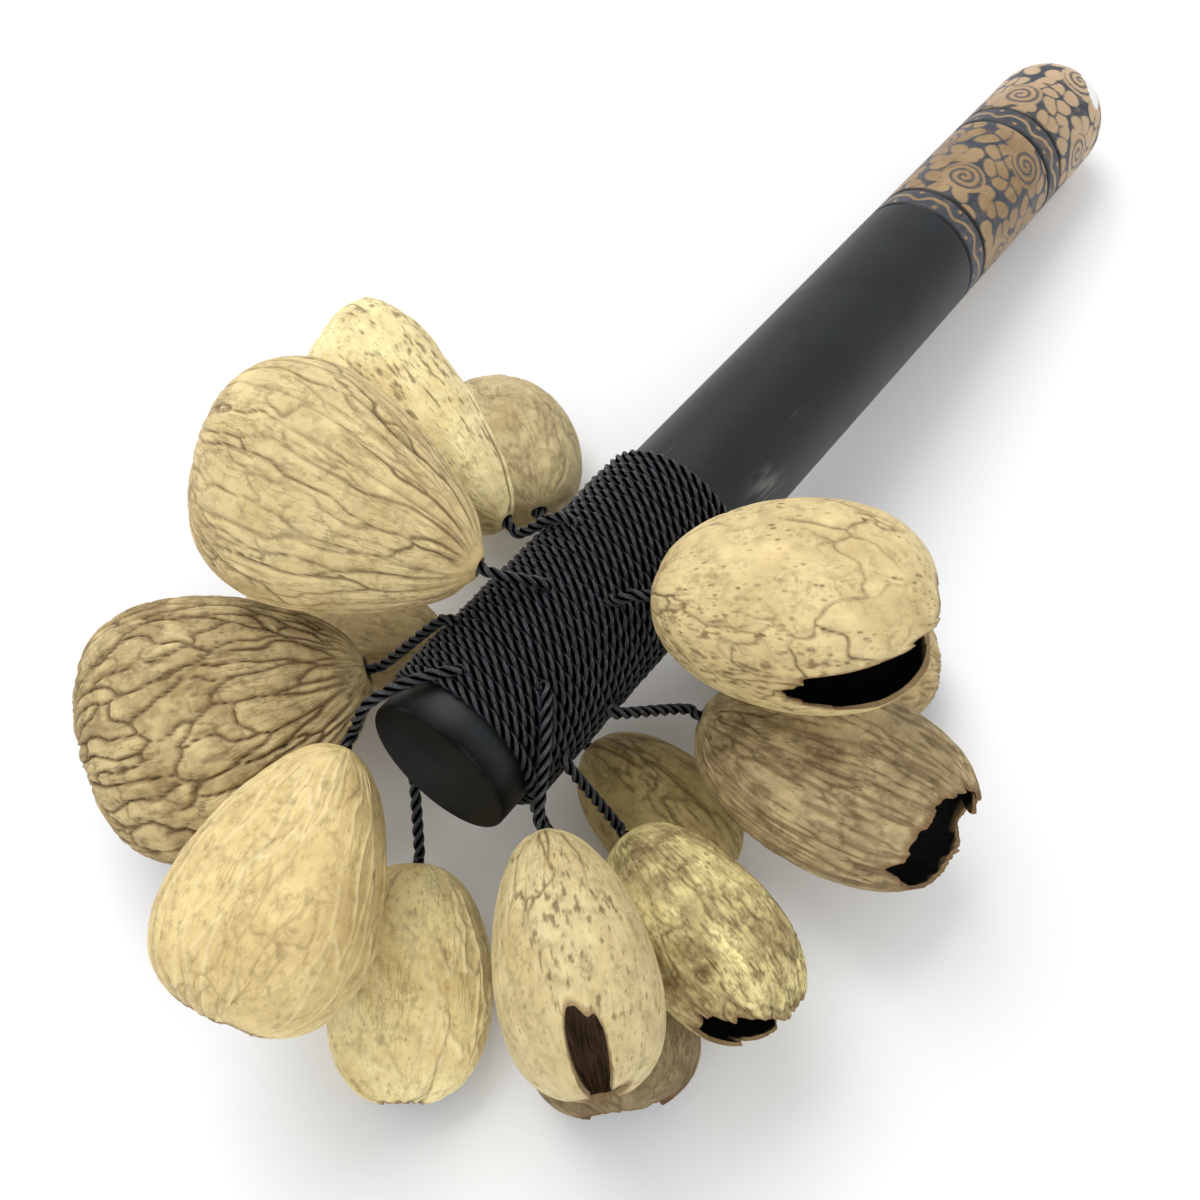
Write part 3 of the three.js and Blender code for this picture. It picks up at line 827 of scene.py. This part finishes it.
# %% Shells on the right
RIGHT_SHELLS = (
    dict(reach=(3, -6, -1), bearing=320, dip=5, roll=-5, length=43, width=27, lead=0.92, thick=31, egg=0.2,
         mouth=0.94, notch=0.3, facing=5, spread=17, exit=(17, 56), via=((10, 17.6, 33),),
         inside=(236, 198, 156), nets=(lines(10, 3.6, 0.27, 0.4, 1.0, 0.25, -0.9, 0.48),),
         striae=(36, 2.5, 0.05, 0.12), stain=(90, 0.45, 36),
         tone=((222, 204, 152), (200, 178, 126)), spots=0.8, creased=0.2),
    dict(reach=(15, -4, -17), bearing=320, dip=5, roll=-15, length=39, width=33, thick=18, egg=0.25,
         mouth=0.9, notch=0.28, facing=170, spread=55, exit=(10, 330), via=(),
         nets=(lines(20, 5.0, 0.4, 0.3, 0.9, 0.5, -0.2),), striae=(34, 6, 0.1, 0.2), stain=(90, 0.6, 90),
         tone=((168, 149, 110), (116, 98, 66)), spots=1.0),
    dict(reach=(11, 1, -13), bearing=345, dip=5, roll=-15, length=42, width=27, thick=23, egg=0.1,
         mouth=0.9, notch=0.24, facing=66, spread=46, power=3, exit=(14, 12), via=(), torn=2.4,
         nets=(lines(13, 4.5, 0.3, 0.4, 0.8, 0.4, -0.3), lines(30, 8, 0.3, 0.2, 0.4, 0.5, -0.2)),
         striae=(30, 4, 0.16, 0.35), stain=(80, 0.7, 60), tone=((255, 238, 168), (122, 98, 58)), spots=0.9),
    dict(reach=(9, 13, -11), bearing=15, dip=10, roll=5, length=54, width=36, thick=24, egg=0.06,
         mouth=0.92, notch=0.27, facing=42, spread=72, power=2, exit=(27, 9), via=(), torn=1.3,
         nets=(lines(22, 7, 0.32, 0.3, 0.8, 0.7, -0.2),), striae=(64, 5.0, 0.34, 0.75), lumps=0.6,
         tone=((206, 184, 136), (142, 120, 82)), spots=0.3),
    dict(reach=(4, 3, 2), bearing=30, dip=-5, roll=10, length=48, width=37, thick=33, egg=0.12,
         mouth=0.94, notch=0.42, facing=78, spread=29, power=2.6, exit=(37.7, 64), via=(), torn=2.3,
         nets=(lines(9, 3.4, 0.25, 0.25, 1.0, 0.22, -0.7, 0.8, 0.45),
               lines(20, 8, 0.22, 0.12, 0.6, 0.3, 0.3)), striae=(30, 3, 0.03, 0.08), stain=(150, 0.36, 42),
         tone=((228, 206, 151), (204, 179, 126)), spots=1.0, creased=0.15),
    dict(reach=(7, 0, -9), bearing=355, dip=10, roll=0, length=36, width=26, thick=20, egg=0.1,
         mouth=0.92, notch=0.26, facing=160, spread=50, exit=(31, 300), via=(),
         nets=(lines(12, 3.0, 0.3, 0.25, 0.8, 0.4, -0.1),), seam=80,
         tone=((202, 180, 120), (170, 146, 90)), spots=0.5),
    dict(reach=(9, 7, -7), bearing=30, dip=10, roll=0, length=41, width=30, thick=21, egg=0.1,
         mouth=0.9, notch=0.28, facing=190, spread=55, exit=(61, 330), via=(),
         nets=(lines(26, 1.6, 0.3, 0.25, 0.7, 0.3, -0.4),), striae=(50, 1.5, 0.15, 0.3),
         tone=((210, 186, 134), (176, 150, 102)), spots=0.3),
)
SHELLS = LEFT_SHELLS + RIGHT_SHELLS
print(len(SHELLS), "shells, longest on the right", max(row["length"] for row in RIGHT_SHELLS), "mm")

# %% [markdown]
# Each shell's narrow end, its apex, is given from the place where its cord leaves the winding, which is
# the middle of its hinge. Those places come from the frame's joints, so the shells follow the CAD. The
# bearing, dip and roll of the row then turn the shell, as a ship is turned by its heading, pitch and roll.

# %% Where each shell hangs


def shell_axes(row):
    """Unit vectors ahead along the shell, across its width and across its thickness."""
    bearing, dip, roll = (math.radians(row[key]) for key in ("bearing", "dip", "roll"))
    ahead = np.array([math.cos(bearing) * math.cos(dip), math.sin(bearing) * math.cos(dip), -math.sin(dip)])
    level = np.array([-math.sin(bearing), math.cos(bearing), 0.0])
    top = np.cross(ahead, level)
    wide = level * math.cos(roll) + top * math.sin(roll)
    return ahead, wide, top * math.cos(roll) - level * math.sin(roll)


swing = {joint["child"]: np.array(joint["pos_m"]) / MM for joint in frame["joints"]}
apexes = [swing[f"hung_shell_{i + 1:02d}"] + np.array(row["reach"]) for i, row in enumerate(SHELLS)]
print("first apex at", np.round(apexes[0], 1))

# %% [markdown]
# The skin is relief on that egg. A net of veins is where two seed cells meet, drawn out along the shell
# so that the veins run from the cord end to the mouth. It is real relief and not a bump, because deep
# veins show in the outline and throw shadows. To give a line the same width everywhere, its distance is
# wanted in mm; noise cells are skew on the skin, so the slope of the border's value is measured on it.

# %% Lines on a skin


def line_distance(border, points):
    """Distance in mm to the nearest border: its value over its slope along the skin, whose grid is skew."""
    down = np.gradient(points, axis=0)
    side = np.roll(points, -1, 1) - np.roll(points, 1, 1)
    rise = np.gradient(border, axis=0)
    turn = np.roll(border, -1, 1) - np.roll(border, 1, 1)
    dd, ds, ss = ((a * b).sum(-1) for a, b in ((down, down), (down, side), (side, side)))
    slope = (ss * rise ** 2 - 2 * ds * rise * turn + dd * turn ** 2) / np.maximum(dd * ss - ds ** 2, 1e-9)
    growth = np.sqrt(np.maximum(slope, 0))
    growth = np.max([np.roll(growth, (i, j), (0, 1)) for i in (-1, 0, 1) for j in (-1, 0, 1)], axis=0)
    return border / np.maximum(growth, 1e-3)


def skin_cells(skin, around, lengths, wander=0.0):
    """Places in noise cells: so many round the shell and so many along it, pushed about by wander."""
    return skin.spin * around + skin.lengthwise * lengths + wander * skin.wander


def skin_places(share, v, points, seed):
    """All that marks are placed by: share of the length, angle, girth in mm, and three slow noises."""
    skin = SimpleNamespace(share=share, v=v, points=points, seed=seed, wander=0.0)
    skin.spin = np.stack([np.cos(v), np.sin(v), 0 * v], -1) / (2 * math.pi)
    skin.lengthwise = share[..., None] * np.array([0.0, 0.0, 1.0])
    skin.girth = np.linalg.norm(np.roll(points, -1, 1) - points, axis=-1).sum(1, keepdims=True)
    skin.wander = np.stack([rough_noise(skin_cells(skin, 18, 5), seed + 3 * k) for k in range(3)], -1)
    return skin


def net_of_lines(skin, net, number):
    """1 on a net's lines, and how far the skin between them puffs up.

    Lines are the borders between seed cells. They show in patches, up to a reach along the shell, and
    where the girth leaves room for them; slow noise makes them fainter in places.
    """
    seed = skin.seed + 60 + 9 * number
    spots = skin_cells(skin, net["around"], net["lengths"], net["wander"])
    away = line_distance(seed_borders(spots, seed), skin.points)
    some = soft_step(smooth_noise(spots * 0.7 + 5, seed + 6), net["patch"], net["patch"] + 0.5)
    some = some * (1 - soft_step(skin.share, net["reach"] - 0.15, net["reach"]))
    some = some * soft_step(skin.girth / net["around"], 0.9, 2.2)
    faint = soft_step(smooth_noise(spots * 1.6 + 11, seed + 8), 0.25, -0.45)
    mark = np.exp(-(away / net["width"]) ** 2) * some * (1 - net["fade"] * faint)
    return mark, some * (1 - np.exp(-away / (4 * net["width"])))


print("nets on each shell:", [len(row["nets"]) for row in SHELLS])

# %% [markdown]
# Some shells have more than veins: fine wrinkles, which are noise drawn out along the shell, a raised
# seam between two halves, one angular corner, and stains of brown flecks. Each is a function of the same
# places on the skin, so any shell can have any of them.

# %% Wrinkles, seams, corners and stains
SEAM_RISE = 0.45
SEAM_WIDTH = 1.3


def turn_from(v, clock):
    """The angle from a clock place, given in degrees, at most half a turn either way."""
    return np.angle(np.exp(1j * (v - math.radians(clock))))


def wrinkles(skin, around, lengths):
    """1 in the creases of drawn-out noise, where it is near 0, and nothing where the girth is small."""
    noise = rough_noise(skin_cells(skin, around, lengths, 0.5), skin.seed + 80)
    return soft_step(1 - np.abs(noise), 0.65, 1.0) * soft_step(skin.girth / around, 0.6, 1.6)


def seam_line(skin, clock):
    """A rounded ridge along the shell at a clock place, in mm, and the dark lines on both its sides."""
    arc = (skin.v - math.radians(clock)) / (2 * math.pi) * skin.girth + 0.5 * skin.wander[..., 0]
    beside = np.exp(-((np.abs(arc) - SEAM_WIDTH) / 0.3) ** 2)
    return SEAM_RISE * np.exp(-(arc / SEAM_WIDTH) ** 2), beside * soft_step(skin.wander[..., 1], -0.5, 0.2)


def corner_rise(skin, length, clock, station, rise, wide):
    """A blunt cone on the skin, in mm: its rise at a clock place and station, falling evenly to 0 at wide."""
    arc = turn_from(skin.v, clock) / (2 * math.pi) * skin.girth
    far = np.hypot(arc, 1.2 * length * (skin.share - station))
    return rise * np.maximum(1 - far / wide, 0)


def stain_flecks(skin, clock, station, wide):
    """1 on brown flecks: the peaks of fine noise, near a clock place and a station along the shell."""
    off = np.degrees(turn_from(skin.v, clock))
    near = np.exp(-(off / wide) ** 2 - ((skin.share - station) / 0.25) ** 2)
    flecks = rough_noise(skin_cells(skin, 150, 40, 0.5), skin.seed + 96)
    return soft_step(flecks + 0.35 * near, 0.5, 1.0) * soft_step(near, 0.05, 0.5)


for mark in ("striae", "seam", "corner", "stain"):
    print(mark, "on shells", [number for number, row in enumerate(SHELLS, 1) if mark in row])

# %% [markdown]
# All of it is added up for one shell. The whole skin goes a little inwards from the CAD's surface, so that
# neighbours keep clear of each other when they swing, and never so far that the wall is lost.

# %% Relief on a shell
WALL = 1.3
LEAST_WALL = 0.15
LUMPS = 0.5
SKIN_SINK = 0.45
PUFF = 0.45


def skin_relief(row, share, v, points, seed):
    """Height in mm, and how dark, pale and stained the skin is, at a share of the length and an angle."""
    skin = skin_places(share, v, points, seed)
    height = row.get("lumps", LUMPS) * smooth_noise(skin_cells(skin, 7, 1.8), seed + 50) - SKIN_SINK
    height = height + 0.12 * rough_noise(skin_cells(skin, 30, 7), seed + 53)
    dark, pale, stain = 0 * v, 0 * v, 0 * v
    for number, net in enumerate(row["nets"]):
        mark, puff = net_of_lines(skin, net, number)
        if net["depth"] > 0:
            height = height + net["depth"] * (PUFF * puff - mark)
            dark = np.maximum(dark, net["dark"] * mark)
        else:
            height = height - net["depth"] * mark
            pale = np.maximum(pale, mark)
    if "striae" in row:
        around, lengths, depth, shade = row["striae"]
        crease = wrinkles(skin, around, lengths)
        height = height - depth * crease
        dark = np.maximum(dark, shade * crease)
    if "seam" in row:
        ridge, beside = seam_line(skin, row["seam"])
        height = height + ridge
        dark = np.maximum(dark, beside)
    if "corner" in row:
        height = height + corner_rise(skin, row["length"], *row["corner"])
    if "stain" in row:
        stain = stain_flecks(skin, *row["stain"])
    return np.maximum(height, LEAST_WALL - WALL), np.clip(dark, 0, 1), np.clip(pale, 0, 1), stain


print("wall", WALL, "mm, skin sunk by", SKIN_SINK, "mm")

# %% [markdown]
# The egg itself is a girth for each place along the shell, and its mouth is an edge for each angle round
# it. The real shells are broken, not cut, so the edge is a smooth notch torn by noise in steps, which
# breaks it into small flakes. A boolean cut with a rough tool would also do, but would leave a ragged mesh.

# %% The egg and its mouth
FULLNESS = 0.8
RAGGED = 0.03
STEEPNESS = 6
FURTHEST_EDGE = 0.97
# Each kind of tear: its depth as a share of the length, its size in mm, its softness and its seed.
TEARS = ((0.02, 4, 0.15, 20), (0.01, 1.8, 0.25, 25))
TEAR_GRIT = 0.0025
PROFILE = np.linspace(0, math.pi, 721)


def egg_girth(row):
    """Girth along the profile, 1 at its widest: a sine to a power, leaning by egg."""
    power = np.where(PROFILE <= math.pi / 2, row.get("lead", FULLNESS), row.get("taper", FULLNESS))
    girth = np.sin(PROFILE) ** power * (1 - row["egg"] * np.cos(PROFILE))
    return girth / girth.max()


def mouth_edge(row, girth, v, seed):
    """Where the mouth's edge is on the profile: its place, less a notch, plus waves and torn steps."""
    off = turn_from(v, 90 - row["roll"] + row["facing"])
    steep = row.get("power", STEEPNESS)
    back = row["notch"] * np.exp(-(np.abs(off) / math.radians(row["spread"])) ** steep)
    edge = row["mouth"] - back + 0.3 * RAGGED * (np.sin(3 * v + 2 * seed) + np.sin(5 * v + seed))
    around = np.interp(math.pi * edge, PROFILE, girth) * (row["width"] + row["thick"]) / 4
    spots = np.stack([around * np.cos(v), around * np.sin(v), row["length"] * edge], -1)
    torn = 0 * v
    for depth, size, soft, own in TEARS:
        torn = torn + depth * soft_step(smooth_noise(spots / size, seed + own), -soft, soft) - depth / 2
    torn = torn + TEAR_GRIT * rough_noise(spots / 0.8, seed + 28)
    return math.pi * np.minimum(edge + row.get("torn", 1.0) * torn, FURTHEST_EDGE)


print("widest place of the first shell at", round(PROFILE[egg_girth(SHELLS[0]).argmax()] / math.pi, 2))

# %% [markdown]
# Girth and edge make a skin. One function gives both skins, because the inner one is the same egg, drawn
# in by the wall. It starts at the hole for the cord. Across, a shell is not quite round: a superellipse
# is a circle with fuller shoulders.

# %% One skin of a shell
SQUARENESS = 2.3
HOLE_DIAMETER = 2.6
EDGE_ROWS = 0.012


def shell_surface(row, apex, inset, share_of_run, v, seed):
    """Points of one skin of the egg, the share of its length, and the share left to the mouth's edge.

    The section is a superellipse as wide as the girth. Rows keep their place along the shell and only
    the last ones gather at the edge, so that lines on the skin stay true beside a deep notch.
    """
    ahead, wide, deep = shell_axes(row)
    girth = egg_girth(row)
    half = PROFILE <= math.pi / 2
    narrow = min(row["width"], row["thick"]) / 2 - inset
    hole = np.interp(HOLE_DIAMETER / 2 / narrow, girth[half], PROFILE[half])
    end = mouth_edge(row, girth, v, seed)
    s = np.minimum(hole + (end.max() - hole) * share_of_run, end - EDGE_ROWS * (1 - share_of_run))
    rounding = (np.abs(np.cos(v)) ** SQUARENESS + np.abs(np.sin(v)) ** SQUARENESS) ** (-1 / SQUARENESS)
    section = np.interp(s, PROFILE, girth) * rounding
    reach = inset + (row["length"] - 2 * inset) * (1 - np.cos(s)) / 2
    points = apex + reach[..., None] * ahead
    points = points + ((row["width"] / 2 - inset) * section * np.cos(v))[..., None] * wide
    points = points + ((row["thick"] / 2 - inset) * section * np.sin(v))[..., None] * deep
    return points, s / math.pi, (end - s) / math.pi


print("holes of", HOLE_DIAMETER, "mm for a cord of", CORD_DIAMETER, "mm")

# %% [markdown]
# A shell piece is the outer skin from hole to mouth and the inner skin back again, joined in one ring
# of rows, so the wall has a real thickness at the broken edge. A Solidify modifier could give the wall too,
# but not a smooth inside under a veined outside. Its points carry marks: dark veins, pale ribs, stains,
# the brown rim of the break, and the hollow, which the finish mostly paints nearly black as painted shade.

# %% Shell pieces
SHELL_ALONG = 186
SHELL_AROUND = 312
INNER_ALONG = 24
# Shells that are mostly hidden have a coarser grid, which keeps the whole model light.
COARSER = {3: 0.8, 5: 0.6, 9: 0.8, 13: 0.6, 14: 0.6}


def shell_piece(number, row, apex):
    """Outer rows with relief along their normals, then inner rows, as one closed ring."""
    fine = COARSER.get(number, 1.0)
    v = np.linspace(0, 2 * math.pi, int(SHELL_AROUND * fine), endpoint=False)
    run, angle = np.meshgrid(np.linspace(0, 1, int(SHELL_ALONG * fine)), v, indexing="ij")
    outer, share, left = shell_surface(row, apex, 0.0, run, angle, number - 1)
    normal = np.cross(np.gradient(outer, axis=0), np.roll(outer, -1, 1) - np.roll(outer, 1, 1))
    normal /= np.linalg.norm(normal, axis=-1, keepdims=True) + 1e-12
    outward = np.sign((normal * (outer - outer.mean((0, 1)))).sum(-1).mean())
    height, dark, pale, stain = skin_relief(row, share, angle, outer, 7 * number)
    outer = outer + outward * normal * (height * soft_step(run, 0, 0.06))[..., None]
    back, angle_in = np.meshgrid(np.linspace(1, 0, INNER_ALONG), v, indexing="ij")
    inner, share_in, left_in = shell_surface(row, apex, WALL, back, angle_in, number - 1)
    turn = np.vstack([angle, angle_in])
    marks = {
        "vein": np.vstack([dark, 0 * back]),
        "rib": np.vstack([pale, 0 * back]),
        "stain": np.vstack([stain, 0 * back]),
        "rim": np.vstack([1 - soft_step(left, 0.004, 0.03), 1 - soft_step(left_in, 0.0, 0.05)]),
        "hollow": np.vstack([0 * run, soft_step(left_in, 0.0, 0.006)]),
        "skin": np.stack([np.cos(turn), np.sin(turn), 2 * np.vstack([share, share_in])], -1),
    }
    return grid_piece(f"nut_{number:02d}", np.vstack([outer, inner]), ring=True, **marks)


nuts = []
for number, (row, apex) in enumerate(zip(SHELLS, apexes), 1):
    nut = shell_piece(number, row, apex)
    nut.data.set_sharp_from_angle(angle=math.radians(65))
    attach(nut, f"hung_shell_{number:02d}")
    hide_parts(f"shell_{number:02d}")
    nuts.append(nut)
print(len(nuts), "shells, the first of", 2 * len(nuts[0].data.polygons), "triangles")

# %% [markdown]
# Dry shell is matte and never one colour: pale khaki where it is rubbed, ochre and brown in patches,
# with freckles and dark veins. Each shell has its own two tones, so the finish is a function of them.
# The marks on the points place what belongs to the relief; noise places what the weather did.

# %% Freckles and creases


def freckles(tree, grain, scale, low, high):
    """Scattered dots, longer along the shell: near a cell's seed, where wide noise allows them."""
    cell = add_node(tree, "TexVoronoi", Vector=grain, Scale=scale, Randomness=1.0).outputs["Distance"]
    gap = combined(tree, "SUBTRACT", cell, stepped(tree, clouds(tree, 700, 2), 0.3, 0.7, 0.2))
    allowed = stepped(tree, clouds(tree, 85, 5, 0.65), low, high)
    return times(tree, stepped(tree, gap, 0.2, 0.02), allowed)


def drawn_noise(tree, grain, stretch, scale, detail, roughness):
    """Noise on the skin's own places, drawn out along the shell where stretch is below 1."""
    drawn = add_node(tree, "Mapping", Vector=grain, Scale=(1, 1, stretch)).outputs[0]
    settings = {"Scale": scale, "Detail": detail, "Roughness": roughness}
    return add_node(tree, "TexNoise", Vector=drawn, **settings).outputs[0]


def crinkles(tree, grain):
    """Fine creases along the shell: 1 where drawn-out noise crosses its middle, in some places only."""
    noise = drawn_noise(tree, grain, 0.4, 9.0, 4.0, 0.6)
    off = combined(tree, "ABSOLUTE", combined(tree, "SUBTRACT", noise, 0.5), 0.0)
    return times(tree, stepped(tree, off, 0.03, 0.0), stepped(tree, clouds(tree, 110, 4), 0.4, 0.62))


def scaled(tone, share):
    """A colour of the same hue, darker where share is below 1 and lighter above."""
    return colour(*(int(share * part) for part in tone))


print("a tone at three quarters:", [round(part, 2) for part in scaled((228, 206, 152), 0.75)[:3]])

# %% [markdown]
# The finish is laid on as a painter would: two tones in patches, wear, light spots, creases, then coat by
# coat what the relief marks, and last the inside, which for most shells is painted shade. A picture of
# each skin would be quicker to render, but it would have to be made for fourteen shells, and would stretch at
# the ends.

# %% The shells' finish
CREASED = 0.55
# A shell without its own inside colour has its hollow painted this near-black: painted shade.
SHADED_INSIDE = (26, 20, 18)
WORN_SHARE = 0.74
LIGHT_SHARE = 1.08
SHADE_SHARE = 0.35


def shell_finish(name, pale, deep, spots, creased, inside):
    """Two tones in patches, creases, freckles, dark veins, pale ribs, a brown rim, and the inside colour on
    the hollow, for most shells a near-black painted shade.
    """
    material, tree, shader = start_finish(name, Roughness=0.6, Specular_IOR_Level=0.3)
    grain = marked(tree, "skin", "Vector")
    grit = clouds(tree, 520, 5, 0.65)
    crease = times(tree, crinkles(tree, grain), creased)
    light = scaled(pale, min(LIGHT_SHARE, 255 / max(pale)))
    streak = drawn_noise(tree, grain, 0.3, 14.0, 5.0, 0.7)
    dusk = mixed(tree, stepped(tree, streak, 0.35, 0.7), scaled(inside, SHADE_SHARE), colour(*inside))
    skin = coated(tree, colour(*pale), (
        (stepped(tree, clouds(tree, 95, 6, 0.62), 0.36, 0.66), colour(*deep)),
        (stepped(tree, grit, 0.48, 0.72, 0.85), scaled(deep, WORN_SHARE)),
        (stepped(tree, clouds(tree, 260, 4), 0.52, 0.7, 0.75), light),
        (crease, colour(124, 98, 60)),
        (times(tree, freckles(tree, grain, 15, 0.42, 0.58), 0.75 * spots), colour(104, 78, 46)),
        (times(tree, freckles(tree, grain, 8, 0.5, 0.62), 0.6 * spots), colour(124, 96, 64)),
        (thinned(tree, "stain", 0.75), colour(112, 86, 54)),
        (thinned(tree, "rib", 0.6), colour(244, 226, 176)),
        (thinned(tree, "vein", 0.85), colour(92, 66, 36)),
        (thinned(tree, "rim", 0.7), colour(122, 88, 54)),
        # The hollow takes the inside colour: painted shade for most shells.
        (marked(tree, "hollow"), dusk),
    ))
    feed(tree, shader, Base_Color=skin)
    roughen(tree, shader, combined(tree, "SUBTRACT", grit, crease), 0.0004, 0.6)
    return material


for nut, row in zip(nuts, SHELLS):
    amounts = row["spots"], row.get("creased", CREASED), row.get("inside", SHADED_INSIDE)
    nut.data.materials.append(shell_finish(nut.name + "_skin", *row["tone"], *amounts))
print("finishes", [nut.data.materials[0].name for nut in nuts[:3]])

# %% [markdown]
# Each tether comes out between two turns of the winding, runs over them and goes through the hole at the
# shell's narrow end to a stopper knot inside. A straight rod would join the two, but a cord sags and bends,
# so it is a smooth path through a few places.

# %% Tethers
KNOT_DEPTH = 5.4
LIE_RADIUS = wind_radius + WIND_CORD * 0.5 + CORD_DIAMETER * 0.42
ROOT_SINK = 0.6
ROOT_RISE = 1.2
HOLE_LEAD = 3.3
INTO_KNOT = 1.5
TETHER_STEP = 0.3
TETHER_COLUMNS = 18

for number, (row, apex) in enumerate(zip(SHELLS, apexes), 1):
    ahead = shell_axes(row)[0]
    station, clock = row["exit"]
    resting = 0.5 * swing[f"hung_shell_{number:02d}"] + 0.5 * on_stick(station, LIE_RADIUS, clock)
    places = [on_stick(station, wind_radius + rise, clock) for rise in (-ROOT_SINK, ROOT_RISE)]
    places += [on_stick(*place) for place in row["via"]] or [resting]
    places += [apex - HOLE_LEAD * ahead, apex, apex + (KNOT_DEPTH - INTO_KNOT) * ahead]
    route, run = smooth_path(places, TETHER_STEP)
    side = np.broadcast_to(np.cross(ahead, along) + 0.3 * upward, route.shape)
    tether = twisted_cord(f"tether_cord_{number:02d}", route, side, run, CORD_DIAMETER, TETHER_COLUMNS)
    tether.data.materials.append(cord_black)
    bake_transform(tether)
    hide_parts(f"tether_{number:02d}")
print("tethers", len(SHELLS), "last one", round(run[-1], 1), "mm long")

# %% [markdown]
# The stopper knot is an overhand knot, which is a trefoil: the cord goes twice round a ring while it
# weaves three times in and out. It sits inside the shell, against the hole. A ball would do, as it hardly
# shows, but the trefoil's formula is short and is what a real cord ends in.

# %% Knots
KNOT_SIZE = 1.15
KNOT_SQUEEZE = (0.55, 0.55, 1.0)
KNOT_CORD = 0.8 * CORD_DIAMETER
KNOT_STEPS = 140
KNOT_COLUMNS = 12

turn = np.linspace(0, 2 * math.pi, KNOT_STEPS)
trefoil = np.stack([
    np.sin(turn) + 2 * np.sin(2 * turn), np.cos(turn) - 2 * np.cos(2 * turn), -np.sin(3 * turn)], -1)
trefoil = trefoil * KNOT_SIZE * np.array(KNOT_SQUEEZE)
for number, (row, apex) in enumerate(zip(SHELLS, apexes), 1):
    ahead, wide, deep = shell_axes(row)
    loop = apex + KNOT_DEPTH * ahead
    loop = loop + trefoil[:, :1] * wide + trefoil[:, 1:2] * deep + trefoil[:, 2:] * ahead
    side = np.broadcast_to(ahead + 0.2 * wide, loop.shape)
    knot = twisted_cord(f"knot_cord_{number:02d}", loop, side, length_along(loop), KNOT_CORD, KNOT_COLUMNS)
    knot.data.materials.append(cord_black)
    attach(knot, f"hung_shell_{number:02d}")
    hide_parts(f"knot_{number:02d}")
print("knots", len(SHELLS), "of", round(length_along(loop)[-1], 1), "mm of cord each")

# %% [markdown]
# The floor is a plain pale plane under the rattle, so that the shells cast shadows on something. A large
# soft lamp above and behind to the left gives the shells their shape, a weaker one opens the shadows, and
# the sky is an even white. Small lamps would give hard shadows, which a soft room light does not.

# %% Floor and light
FLOOR_HALF = 2.0
LAMP_AIM = (0, -0.05, 0.03)
KEY_PLACE = (-0.55, 0.15, 0.95)
KEY_SIZE = 0.7
KEY_POWER = 6.4
FILL_PLACE = (0.5, -0.7, 0.7)
FILL_SIZE = 0.8
FILL_POWER = 2.0
SKY_STRENGTH = 0.75
SKY_TINT = (0.965, 0.985, 1, 1)


def floor_finish():
    """Nearly white matte card with a faint unevenness."""
    material, tree, shader = start_finish("floor_card", Roughness=0.9, Specular_IOR_Level=0.1)
    card = mixed(tree, clouds(tree, 4, 3), colour(247, 247, 248), colour(251, 251, 251))
    feed(tree, shader, Base_Color=card)
    return material


def soft_lamp(name, place, size, power):
    """A square lamp at a place, turned towards the shells; its light falls evenly."""
    lamp = bpy.data.objects.new(name, bpy.data.lights.new(name, "AREA"))
    lamp.data.shape = "SQUARE"
    lamp.data.size = size
    lamp.data.energy = power
    lamp.location = place
    lamp.rotation_euler = (Vector(LAMP_AIM) - Vector(place)).to_track_quat("-Z", "Y").to_euler()
    scene.collection.objects.link(lamp)


floor_corners = [(x * FLOOR_HALF, y * FLOOR_HALF, 0) for x, y in ((-1, -1), (1, -1), (1, 1), (-1, 1))]
floor_mesh = bpy.data.meshes.new("floor")
floor_mesh.from_pydata(floor_corners, [], [(0, 1, 2, 3)])
floor = bpy.data.objects.new("floor", floor_mesh)
floor.data.materials.append(floor_finish())
scene.collection.objects.link(floor)
soft_lamp("key_lamp", KEY_PLACE, KEY_SIZE, KEY_POWER)
soft_lamp("fill_lamp", FILL_PLACE, FILL_SIZE, FILL_POWER)
world = bpy.data.worlds.new("sky")
world.use_nodes = True
world.node_tree.nodes["Background"].inputs["Color"].default_value = SKY_TINT
world.node_tree.nodes["Background"].inputs["Strength"].default_value = SKY_STRENGTH
scene.world = world
print("lamps", KEY_POWER, FILL_POWER, "sky", SKY_STRENGTH)
